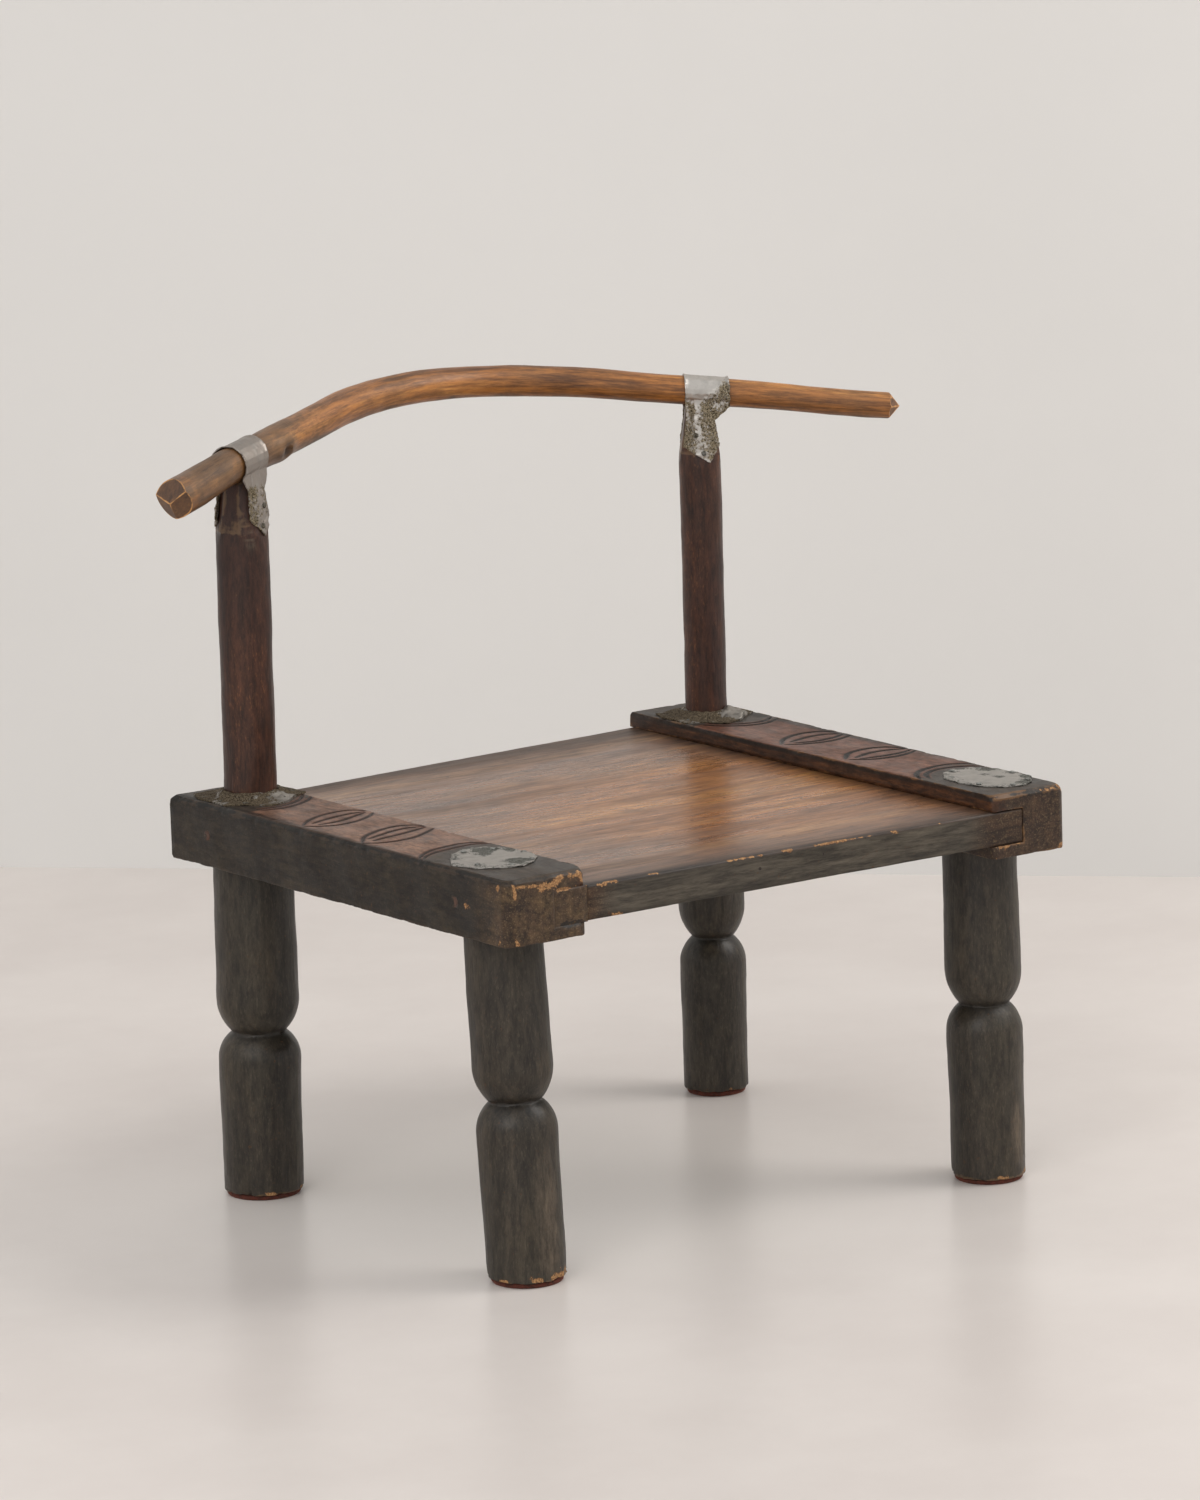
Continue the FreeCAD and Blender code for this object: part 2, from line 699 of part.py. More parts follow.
def post_collar(side):
    """Ring of sheet round the foot of a post, turned up against the post, with a ragged rim."""
    leg = f"rear_{side}"
    place = Placement(on_leg_axis(leg, size("rail_top")), Rotation())
    middle, over = place.Base, size("overrun")
    rise, run = size("collar_rise"), size("collar_turn_up")
    gauge = size("sheet_thickness") * math.hypot(rise, run) / rise
    bore = size(f"{side}_post_width") + 2 * size("fit_gap")
    foot = bore + 2 * run

    def cone(name, grow, low, high):
        ends = [foot + 2 * grow - 2 * run * level / rise for level in (low, high)]
        return facet_loft(f"collar_{side}_{name}", place, COLLAR_FLATS, low, ends[0], high, ends[1])

    width = f"{side}_post_width + 2 * collar_reach"
    rim = sheet_outline(f"collar_{side}_rim", COLLAR_SHARES, width, width, place)
    passage = facet_loft(f"collar_{side}_passage", place, COLLAR_FLATS, -over, bore, rise + over, bore)
    blank = fuse(f"collar_{side}_blank", rim, cone("outside", gauge, 0, rise))
    opened = cut(f"collar_{side}_opened", blank, fuse(f"collar_{side}_inside", passage, cone("hollow", 0, -over, rise)))
    land = make("Part::Box", f"collar_{side}_land", Height="rail_depth",
                Width=f"{side}_rail_length", Length="rail_front_width + collar_edge_margin")
    inner = -size("collar_edge_margin") if sign(side) > 0 else -size("rail_front_width")
    corner = Vector(inner, -size(f"{side}_rail_length") / 2, size("rail_depth"))
    land.Placement = rail_placement(side) * Placement(corner, Rotation())
    collar = common(f"collar_{side}_sheet", opened, land)
    seats = []
    for degrees in COLLAR_NAIL_TURNS:
        turn = math.radians(degrees if side == "right" else 180.0 - degrees)
        reach = size(f"{side}_post_width") / 2 + size("collar_turn_up") + size("nail_head_width")
        point = middle + Vector(reach * math.cos(turn), reach * math.sin(turn), size("sheet_thickness"))
        seats.append((point, UP * -1))
    nails, bores = nail_set(f"collar_nails_{side}", seats)
    return collar, nails, bores


def leg_peg(leg):
    """Round peg driven in from the rail's outer face, through the rail and into the leg's tenon."""
    side = leg.split("_")[1]
    axis = on_leg_axis(leg, size("peg_height"))
    shift = size("front_peg_shift") if leg.startswith("front") else 0
    frame = rail_placement(side)
    local = frame.inverse().multVec(axis + Vector(0, shift, 0))
    half = size(f"{side}_rail_length") / 2
    share = (local.y + half) / (2 * half)
    width = size("rail_front_width") + (size("rail_rear_width") - size("rail_front_width")) * share
    inwards = frame.Rotation.multVec(Vector(-sign(side), 0, 0))
    start = frame.multVec(Vector(sign(side) * width, local.y, local.z))
    peg = make("Part::Cylinder", f"peg_{leg}", Radius="peg_width / 2")
    peg.Height = width - abs(local.x) + size("peg_bite")
    peg.Placement = Placement(start, Rotation(UP, inwards))
    return peg


def tip_sharpener(side):
    """What the knife takes off an arm's end: all that lies outside a blunt pyramid of facets."""
    crossings, _, outwards = bow_frame()
    tip = crossings[side] + outwards[side] * size(f"{side}_arm_reach")
    bevel = size("tip_bevel")
    place = Placement(tip - outwards[side] * bevel, Rotation(UP, outwards[side]))
    width = arm_width_at(side, size(f"{side}_arm_reach") - bevel)
    block = doc.addObject("Part::Cylinder", f"tip_{side}_block")
    block.Radius = width
    block.Height = bevel + size("overrun")
    block.Placement = place
    flat = width * size("tip_flat_share")
    taper = (width - flat) / bevel
    over = size("overrun")
    cone = facet_loft(f"tip_{side}_facets", place, TIP_FLATS[side], -over, width + taper * over, bevel, flat)
    return cut(f"tip_{side}_offcut", block, cone)


def post_peak(side, grow):
    """Round tenon on a post's top, inside the bow."""
    axis = on_leg_axis(f"rear_{side}", size(f"{side}_bow_height"))
    low = arm_width_at(side, 0)
    bar = doc.addObject("Part::Cylinder", f"peak_{side}_{'bore' if grow else 'bar'}")
    bar.Radius = size(f"{side}_peak_width") / 2 + grow
    bar.Height = low + size("peak_height") - arm_width_at(side, 0) / 2 + grow
    bar.Placement = Placement(axis - UP * low, Rotation())
    return bar


def register(label, item):
    """Name a finished sub-part."""
    item.Label = label
    pieces[label] = item


def build():
    tenon_gap = "2 * fit_gap"
    leg_zone = level_slab("leg_zone", "pad_thickness", "rail_top - rail_depth")
    tenon_zone = level_slab("tenon_zone", "rail_top - rail_depth - tenon_root - trim_allowance", "rail_top")
    pegs = {leg: leg_peg(leg) for leg in LEGS}
    patches = {side: tenon_patch(side) for side in SIDES}
    collars = {side: post_collar(side) for side in SIDES}
    strap_nails = {side: nail_set(f"strap_nails_{side}", strap_nail_seats(side)) for side in SIDES}

    mortises = {}
    for leg in LEGS:
        mortises[leg] = rod_on_leg(f"{leg}_mortise", leg, f"{tenon_width(leg)} + {tenon_gap}",
                                   "0 - overrun - tenon_root", "rail_depth + overrun")

    for side in SIDES:
        legs = (f"front_{side}", f"rear_{side}")
        tools = [mortises[leg] for leg in legs] + [pegs[leg] for leg in legs]
        tools += [patches[side][2], collars[side][2]]
        rail = cut(f"rail_{side}_cut", rail_blank(side), fuse(f"rail_{side}_tools", *tools))
        register(f"rail_{side}", rail)

    board = cut("seat_board_cut", board_blank(), fuse("board_notches", *mortises.values()))
    register("seat_board", board)

    branch_solid = branch()
    for leg in LEGS:
        side = leg.split("_")[1]
        drum = common(f"{leg}_drum", turned_leg(leg), leg_zone)
        if leg.startswith("front"):
            bar = rod_on_leg(f"{leg}_tenon_bar", leg, tenon_width(leg), "0 - tenon_root",
                             "rail_depth + trim_allowance")
            whole = fuse(f"{leg}_whole", drum, common(f"{leg}_tenon", bar, tenon_zone))
            tools = [pegs[leg], patches[side][2]]
        else:
            bar = rod_on_leg(f"{leg}_post_bar", leg, tenon_width(leg), "0 - tenon_root",
                             f"{side}_bow_height - rail_top + rail_depth")
            hewn = common(f"{leg}_hewn_post", bar, neck_facets(f"{leg}_neck", side, 0))
            saddle = cut(f"{leg}_saddle", hewn, arm_form(f"{leg}_arm_gap", side, size("fit_gap")))
            whole = fuse(f"{leg}_whole", drum, saddle, post_peak(side, 0))
            tools = [pegs[leg], strap_nails[side][1]]
        register(f"{leg.split('_')[0]}_leg_{side}", cut(f"{leg}_bored", whole, fuse(f"{leg}_bores", *tools)))
        pad = make("Part::Cylinder", f"foot_pad_{leg}", Radius=f"{leg}_width / 2 - pad_inset",
                   Height="pad_thickness")
        pad.Placement = Placement(on_leg_axis(leg, 0), Rotation())
        register(f"foot_pad_{leg}", pad)
        register(f"peg_{leg}", pegs[leg])

    offcuts = [tip_sharpener(side) for side in SIDES]
    sockets = [post_peak(side, size("fit_gap")) for side in SIDES]
    register("back_bow", cut("bow_finished", branch_solid, fuse("bow_tools", *offcuts, *sockets)))

    for side in SIDES:
        register(f"strap_{side}", cut(f"strap_{side}_pierced", strap_sheet(side), strap_nails[side][1]))
        register(f"strap_nails_{side}", strap_nails[side][0])
        plate, nails, bores = patches[side]
        register(f"patch_{side}", cut(f"patch_{side}_pierced", plate, bores))
        register(f"patch_nails_{side}", nails)
        collar, nails, bores = collars[side]
        register(f"collar_{side}", cut(f"collar_{side}_pierced", collar, bores))
        register(f"collar_nails_{side}", nails)
    doc.recompute()


def check_document():
    """Stop on any failed object and on any sub-part that is empty or not valid."""
    for item in doc.Objects:
        if {"Invalid", "Error"} & set(item.State):
            raise RuntimeError(f"{item.Label} failed: {item.State}")
    for label, item in pieces.items():
        if item.Shape.isNull() or not item.Shape.isValid() or item.Shape.Volume <= 0:
            raise RuntimeError(f"{label} is empty or not valid")


def centre_on_outline():
    """Move the whole chair level, so that the origin lies under the middle of its outline."""
    outline_box = FreeCAD.BoundBox()
    for item in pieces.values():
        outline_box.add(item.Shape.optimalBoundingBox(False))
    shift = Vector(-outline_box.Center.x, -outline_box.Center.y, 0)
    for item in pieces.values():
        item.Placement = Placement(shift, Rotation()) * item.Placement
    print(f"seat middle at {shift.x:.3f}, {shift.y:.3f}")


fill_sheet()
build()
check_document()
centre_on_outline()
os.makedirs("parts", exist_ok=True)
for label, item in sorted(pieces.items()):
    item.Shape.exportStep(f"parts/{label}.step")
    box = item.Shape.optimalBoundingBox(False)
    solids = len(item.Shape.Solids)
    print(f"{label}: {solids} solid, {box.XLength:.1f} x {box.YLength:.1f} x {box.ZLength:.1f}")
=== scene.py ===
import math

import bmesh
import bpy
from mathutils import Matrix, Vector, kdtree, noise
from mathutils.geometry import intersect_point_line


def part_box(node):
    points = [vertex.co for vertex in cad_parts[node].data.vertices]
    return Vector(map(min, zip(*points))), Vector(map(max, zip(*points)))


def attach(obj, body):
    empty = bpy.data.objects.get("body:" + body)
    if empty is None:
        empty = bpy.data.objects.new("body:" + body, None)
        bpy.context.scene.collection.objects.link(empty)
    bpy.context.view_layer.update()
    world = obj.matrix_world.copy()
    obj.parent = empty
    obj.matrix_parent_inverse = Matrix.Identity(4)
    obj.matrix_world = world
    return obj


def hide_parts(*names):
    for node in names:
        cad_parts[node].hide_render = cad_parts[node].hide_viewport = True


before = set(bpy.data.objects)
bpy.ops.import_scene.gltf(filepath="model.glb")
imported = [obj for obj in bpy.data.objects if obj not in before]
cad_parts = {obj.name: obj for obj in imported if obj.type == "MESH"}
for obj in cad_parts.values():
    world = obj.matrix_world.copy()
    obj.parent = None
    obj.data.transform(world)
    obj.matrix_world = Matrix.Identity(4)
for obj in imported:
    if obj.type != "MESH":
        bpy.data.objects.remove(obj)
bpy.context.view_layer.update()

# Places are in millimetres from the seat's middle on the floor: X right, Y back, Z up.
SEAT_MIDDLE = Vector((-20.902, -22.131, 0))
UP = Vector((0, 0, 1))
SEAT_TOP, RAIL_TOP = 293.2, 306.0

# The bow: where it crosses the posts, the corner of its arms, and its widths.
BOW_CROSSINGS = {"left": Vector((-214.9, 163.9, 559.6)), "right": Vector((223.1, 181.1, 565.3))}
BOW_CORNER = Vector((30.6, 294.5, 587.0))
ARM_REACH = {"left": 105.0, "right": 160.0}
BEND_RADIUS, STATION_PITCH = 238.0, 4
BOW_WIDTHS = (29.8, 27.0, 26.4, 23.4, 20.2)
KNOT = (-165.5, 176.0, 561.0)
# How far the branch rises or sags from its even course: place across the chair and rise.
BOW_WANDER = ((-308, -4.2), (-215, 0.0), (-150, 1.0), (0, 4.0), (140, 1.8), (223, 0.0), (360, -3.2))
# Knife cuts at the branch's tips: station, side, drop of the point, and each facet's turn and lean.
TIP_CUTS = (
    (0, -1, 2.2, ((108, 29), (222, 38), (322, 34))),
    (-1, 1, 0.0, tuple((60 * n + 30, 42) for n in range(6))),
)

# Each rail: the inner corner of its front end, and in metres the radius there and the width of its
# carved lines; its outer side; the inner edge of its lip; the seed of its hewn faces.
RAILS = {
    "left": ((-182.5, -218), 0.007, 0.0042, -252.5, -182.5, 7.0),
    "right": ((180.1, -226), 0.004, 0.0054, 252.5, 185, 11.0),
}
# Height of each leg's waist, where a ring of painted shade lies.
WAISTS = {"front_leg_left": 131.3, "front_leg_right": 135.3, "rear_leg_left": 126.2, "rear_leg_right": 127.3}
# How far the patches lie off their plain discs; each collar's shining fold, raised and with a painted
# highlight of bright bare metal: place, strength of the painted highlight and height.
PATCH_SHIFT = {"left": (0.6, -5.0), "right": (-1.0, -4.5)}
COLLAR_SHINE = {"left": (-206, 133, 1.2, 0.0006), "right": (235, 157, 2.0, 0.0022)}

# Leaf and arc lines cut into the rails' tops, each as the points that it passes through.
CARVED_LINES = {
    "left": [
        [(-247, 47), (-236, 58), (-220, 67), (-202, 71), (-190, 68), (-184, 58)],
        [(-248, 44), (-238, 34), (-224, 30), (-208, 33), (-194, 40), (-183, 50)],
        [(-238, 48), (-218, 55), (-200, 58), (-187, 57)],
        [(-237, 41), (-220, 41), (-204, 47), (-188, 54)],
        [(-249, -34), (-236, -18), (-218, -8), (-200, -4), (-187, -10), (-183, -21)],
        [(-250, -36), (-240, -45), (-225, -48), (-207, -44), (-184, -30)],
        [(-239, -27), (-216, -18), (-198, -15), (-185, -19)],
        [(-240, -35), (-221, -31), (-203, -27), (-186, -22)],
        [(-250, -108), (-240, -99), (-226, -91), (-211, -88), (-196, -88), (-184, -97)],
        [(-250, -114), (-240, -105), (-225, -99), (-208, -96), (-194, -96), (-183, -104)],
        [(-240, 114), (-225, 111), (-211, 114), (-195, 122), (-183, 133)],
        [(-239, 121), (-226, 118), (-211, 121), (-196, 130), (-184, 144)],
        [(-212, 131), (-198, 140), (-187, 152)],
    ],
    "right": [
        [(193, 45), (204, 58), (219, 66), (233, 68), (246, 64), (253, 52)],
        [(194, 42), (204, 34), (219, 29), (235, 29), (252, 35)],
        [(203, 47), (222, 53), (239, 53), (250, 46)],
        [(203, 42), (219, 36), (235, 37), (250, 42)],
        [(191, -37), (207, -21), (227, -16), (243, -22), (250, -36)],
        [(192, -41), (204, -51), (220, -55), (236, -54), (251, -48)],
        [(200, -38), (220, -31), (238, -32), (249, -38)],
        [(200, -44), (219, -47), (235, -47), (250, -43)],
        [(184, -136), (191, -123), (203, -113), (219, -108), (234, -108), (249, -117)],
        [(189, -141), (197, -127), (210, -119), (226, -118), (240, -124), (249, -134)],
        [(196, 150), (207, 134), (222, 124), (239, 123), (257, 132)],
        [(203, 154), (213, 140), (226, 132), (241, 131), (257, 141)],
    ],
}
# The arcs beyond which the rails' tops are dark: the lines at the front and at the rear.
DARK_END_ARCS = (8, 10)
# Fine drying checks in the seat, along its grain.
SEAT_CHECKS = [
    [(-150, 62), (-70, 65), (20, 61), (90, 63)],
    [(-40, -97), (40, -94), (120, -96), (176, -93)],
    [(-172, 148), (-110, 150), (-60, 147)],
]

# Strokes on the wooden pieces, each as two ends and a width: bare where the dark skin has broken away
# from pale wood, seam along dark joint gaps and cracks, and rub on lighter, handled places.
STROKES = {
    "bare": {
        "rail_left": [
            ((-245, -217, 302), (-244, -218, 293), 2.4), ((-242, -218, 301), (-222, -218, 299), 2.0),
            ((-221, -218, 297), (-207, -218, 300), 4.4), ((-207, -217, 302), (-189, -217, 302), 3.2),
            ((-189, -217, 303), (-184, -218, 296), 4.2), ((-245, -217, 264), (-243, -218, 259), 2.6),
            ((-200, -218, 269), (-184, -218, 268.6), 2.6), ((-252, -209, 264), (-252, -207, 260), 2.0),
            ((-252, -171, 283), (-252, -168, 281), 4.0), ((-252, -208, 301), (-252, -206, 298), 2.6),
            ((-207, -218, 293), (-190, -218, 295), 1.8),
        ],
        "rail_right": [
            ((245, -223, 305), (252, -226, 300), 6.0), ((252, -225, 300), (253, -226, 292), 4.5),
            ((226, -227, 305), (238, -227, 305), 2.6), ((180, -226, 305), (188, -227, 305), 3.2),
            ((181, -227, 269), (192, -227, 267.5), 4.2), ((192, -227, 268), (205, -227, 268.5), 2.4),
            ((205, -227, 273), (205, -227, 269), 2.6), ((181, -227, 262), (182, -227, 259), 2.4),
            ((243, -227, 260), (252, -226, 263), 3.0),
        ],
        "seat_board": [
            ((-173, -218, 293), (-170, -218, 292), 2.4), ((-167, -218, 293.5), (-158, -218, 293.5), 3.2),
            ((-161, -218, 269), (-153, -218, 268), 3.0), ((-60, -220, 293), (-30, -221, 293), 1.7),
            ((-11, -221, 293), (-4, -221, 293), 2.6), ((18, -222, 293.4), (46, -222, 293.2), 2.4),
            ((46, -222, 293), (72, -223, 293), 1.2), ((88, -223, 293), (92, -223, 292), 2.2),
            ((-128, -218, 293), (-122, -218, 293), 1.8), ((130, -224, 293), (133, -224, 293), 1.4),
        ],
        "front_leg_left": [
            ((-228, -189, 8), (-214, -192.5, 6), 3.2), ((-205, -193.5, 6), (-190, -188, 7), 4.0),
            ((-190, -187, 9), (-186, -183, 6), 3.4), ((-236, -171, 5), (-234, -176, 5), 2.4),
        ],
        "front_leg_right": [((204, -197, 6), (210, -199, 5), 2.4), ((228, -196, 6), (238, -189, 7), 2.8)],
        "rear_leg_left": [((-234, 140, 6), (-228, 138, 5), 2.4), ((-202, 141, 6), (-196, 146, 5), 2.4)],
        "rear_leg_right": [((214, 156, 6), (221, 155, 5), 2.2)],
    },
    "seam": {
        "rail_left": [
            ((-204, -218, 267.6), (-184, -218, 267.4), 1.6), ((-222, -200, 306), (-214, -212, 306), 1.0),
        ],
        "rail_right": [
            ((208, -227, 294), (209.5, -227, 286), 1.0), ((209.5, -227, 286), (212, -227, 281), 1.2),
            ((211, -227, 281), (209, -227, 276), 1.0), ((186, -227, 293.8), (208, -227, 294), 0.8),
            ((209, -227, 276), (208.5, -227, 268), 0.6),
        ],
        "seat_board": [
            ((207, -227, 293), (208.5, -227, 284), 1.0), ((208, -227, 284), (208, -227, 268), 0.8),
        ],
    },
    "rub": {
        "front_leg_left": [
            ((-205, -193, 90), (-203, -191, 18), 19.0), ((-213, -196, 238), (-212, -197, 205), 9.0),
        ],
        "rear_leg_left": [((-221.7, 147, 507), (-218.8, 146, 497), 7.0)],
        "front_leg_right": [((222, -199, 60), (224, -198, 20), 12.0)],
    },
}


def at(x, y, z=0.0):
    """A place in the part's frame, in metres, from millimetres about the seat's middle."""
    return (Vector((x, y, z)) + SEAT_MIDDLE) / 1000


def hue(text):
    """A colour as it looks on paper, six hex digits, as linear light."""
    parts = [int(text[i:i + 2], 16) / 255 for i in (0, 2, 4)]
    return [c / 12.92 if c <= 0.04045 else ((c + 0.055) / 1.055) ** 2.4 for c in parts] + [1.0]


# ---------------------------------------------------------------- shader nodes

class Shading:
    """A node tree that is being wired. Colours are sockets or six hex digits."""

    def __init__(self, tree):
        self.tree = tree

    def wire(self, value, socket):
        if isinstance(value, bpy.types.NodeSocket):
            self.tree.links.new(value, socket)
        else:
            socket.default_value = hue(value) if isinstance(value, str) else value

    def put(self, kind, inputs=None, **settings):
        """A node with its settings; each input is wired from a socket or given a value."""
        node = self.tree.nodes.new("ShaderNode" + kind)
        for name, value in settings.items():
            setattr(node, name, value)
        for name, value in (inputs or {}).items():
            self.wire(value, node.inputs[name])
        return node

    def maths(self, operation, first, second, clamp=False):
        return self.put("Math", {0: first, 1: second}, operation=operation, use_clamp=clamp).outputs[0]

    def times(self, first, second, clamp=False):
        return self.maths("MULTIPLY", first, second, clamp)

    def plus(self, first, second):
        return self.maths("ADD", first, second)

    def minus(self, first, second):
        return self.maths("SUBTRACT", first, second)

    def added(self, first, share, offset):
        """first times share, plus offset."""
        return self.put("Math", {0: first, 1: share, 2: offset}, operation="MULTIPLY_ADD").outputs[0]

    def mixed(self, factor, first, second, blend="MIX"):
        inputs = {0: factor, 6: first, 7: second}
        return self.put("Mix", inputs, data_type="RGBA", blend_type=blend).outputs[2]

    def over(self, colour, tone, mask, share):
        """Lays a tone over the colour, by a share of the mask."""
        return self.mixed(self.times(mask, share), colour, tone)

    def step(self, value, low, high):
        """A soft step from 0 at low to 1 at high."""
        return self.put("MapRange", {"Value": value, "From Min": low, "From Max": high},
                        interpolation_type="SMOOTHSTEP").outputs["Result"]

    def noise(self, place, scale, detail=4.0, roughness=0.55):
        return self.put("TexNoise", {"Vector": place, "Scale": scale, "Detail": detail,
                                     "Roughness": roughness}).outputs["Fac"]

    def stretched(self, place, shares):
        """The coordinate drawn out: a share under 1 makes patterns longer along that axis."""
        return self.put("VectorMath", {0: place, 1: shares}, operation="MULTIPLY").outputs[0]


def new_group(name, inputs, outputs):
    """A node group's wiring and its two ends. An input has a kind, or a number to start from."""
    group = bpy.data.node_groups.new(name, "ShaderNodeTree")
    for label, value in inputs.items():
        kind = value if isinstance(value, str) else "Float"
        socket = group.interface.new_socket(label, in_out="INPUT", socket_type="NodeSocket" + kind)
        if kind == "Float":
            socket.default_value = value
    for label in outputs:
        kind = "Color" if label == "Color" else "Float"
        group.interface.new_socket(label, in_out="OUTPUT", socket_type="NodeSocket" + kind)
    ends = group.nodes.new("NodeGroupInput").outputs, group.nodes.new("NodeGroupOutput").inputs
    return Shading(group), *ends


def make_wood_figure():
    """Streaky wood along X of its grain coordinate: growth bands, fine lines and open pores."""
    inputs = {"Grain": "Vector", "Deep": "Color", "Main": "Color", "Pale": "Color",
              "Band Scale": 28.0, "Line Scale": 420.0}
    g, given, out = new_group("wood_figure", inputs, ["Color", "Height"])
    sway = g.times(g.noise(given["Grain"], 9.0, 2.0), 0.012)
    wander = g.put("CombineXYZ", {"Y": sway, "Z": sway}).outputs[0]
    swayed = g.put("VectorMath", {0: given["Grain"], 1: wander}, operation="ADD").outputs[0]
    drawn = g.stretched(swayed, (0.07, 1.0, 1.0))
    bands = g.noise(drawn, given["Band Scale"], 5.0, 0.6)
    lines = g.noise(drawn, given["Line Scale"], 3.0, 0.65)
    pores = g.step(g.noise(drawn, g.times(given["Line Scale"], 2.2), 1.0, 0.5), 0.6, 0.72)
    tone = g.plus(g.times(bands, 0.62), g.times(lines, 0.38))
    colour = g.mixed(g.step(tone, 0.36, 0.52), given["Deep"], given["Main"])
    colour = g.mixed(g.step(tone, 0.5, 0.68), colour, given["Pale"])
    g.wire(g.mixed(g.times(pores, 0.35), colour, given["Deep"]), out["Color"])
    g.wire(g.minus(lines, g.times(pores, 0.6)), out["Height"])
    return g.tree


def make_rubbed_edges():
    """Mask of wear within a reach of the arrises, with a patchy outline."""
    g, given, out = new_group("rubbed_edges", {"Place": "Vector", "Distance": 1.0, "Reach": 0.003}, ["Mask"])
    patchy = g.noise(given["Place"], 55.0, 8.0, 0.65)
    reach = g.times(given["Reach"], g.added(patchy, 4.0, -1.55))
    left = g.minus(reach, given["Distance"])
    g.wire(g.maths("DIVIDE", left, g.times(given["Reach"], 0.35), clamp=True), out["Mask"])
    return g.tree


def make_old_grime():
    """Blotches of old grime and rub, from coarse clouds down to speckle."""
    g, given, out = new_group(
        "old_grime", {"Place": "Vector", "Scale": 25.0, "Cover": 0.5}, ["Mask", "Speckle"])
    clouds = g.noise(given["Place"], given["Scale"], 9.0, 0.68)
    low = g.minus(0.95, g.times(given["Cover"], 0.9))
    over = g.minus(clouds, g.minus(low, 0.1))
    g.wire(g.times(over, 5.0, clamp=True), out["Mask"])
    g.wire(g.step(g.noise(given["Place"], 900.0, 2.0, 0.5), 0.56, 0.68), out["Speckle"])
    return g.tree


def make_broken_skin():
    """Mask of splinters and chips: a soft painted share made crisp by noise."""
    g, given, out = new_group("broken_skin", {"Place": "Vector", "Share": 0.0}, ["Mask", "Rim"])
    ragged = g.noise(given["Place"], 260.0, 8.0, 0.66)
    torn = g.plus(given["Share"], g.added(ragged, 2.5, -1.25))
    g.wire(g.step(torn, 0.46, 0.53), out["Mask"])
    rim = g.minus(g.step(torn, 0.3, 0.44), g.step(torn, 0.46, 0.6))
    g.wire(g.maths("MAXIMUM", rim, 0.0), out["Rim"])
    return g.tree


def make_worm_specks():
    """Scattered pin holes."""
    g, given, out = new_group(
        "worm_specks", {"Place": "Vector", "Scale": 70.0, "Share": 0.2, "Size": 0.07}, ["Mask"])
    cells = g.put("TexVoronoi", {"Vector": given["Place"], "Scale": given["Scale"]}).outputs
    spots = g.maths("LESS_THAN", cells["Distance"], given["Size"])
    chosen = g.put("SeparateColor", {0: cells["Color"]}).outputs[0]
    g.wire(g.times(spots, g.maths("LESS_THAN", chosen, given["Share"])), out["Mask"])
    return g.tree


def make_beaten_sheet():
    """Thin sheet beaten by hand: hammer marks and dark corroded pits."""
    g, given, out = new_group(
        "beaten_sheet", {"Place": "Vector", "Mark Scale": 220.0, "Pitted": 0.0}, ["Height", "Pits"])
    cells = {"Vector": given["Place"], "Scale": given["Mark Scale"], "Smoothness": 0.6}
    dents = g.put("TexVoronoi", cells, feature="SMOOTH_F1").outputs["Distance"]
    crust = g.noise(given["Place"], 430.0, 8.0, 0.68)
    broad = g.noise(given["Place"], 120.0, 5.0, 0.6)
    worn = g.plus(g.times(crust, 0.6), g.times(broad, 0.4))
    over = g.minus(worn, g.added(given["Pitted"], -0.17, 0.63))
    pits = g.times(over, 11.0, clamp=True)
    g.wire(pits, out["Pits"])
    g.wire(g.added(dents, 0.5, g.times(pits, -0.5)), out["Height"])
    return g.tree


WOOD_FIGURE = make_wood_figure()
RUBBED_EDGES = make_rubbed_edges()
OLD_GRIME = make_old_grime()
BROKEN_SKIN = make_broken_skin()
WORM_SPECKS = make_worm_specks()
BEATEN_SHEET = make_beaten_sheet()


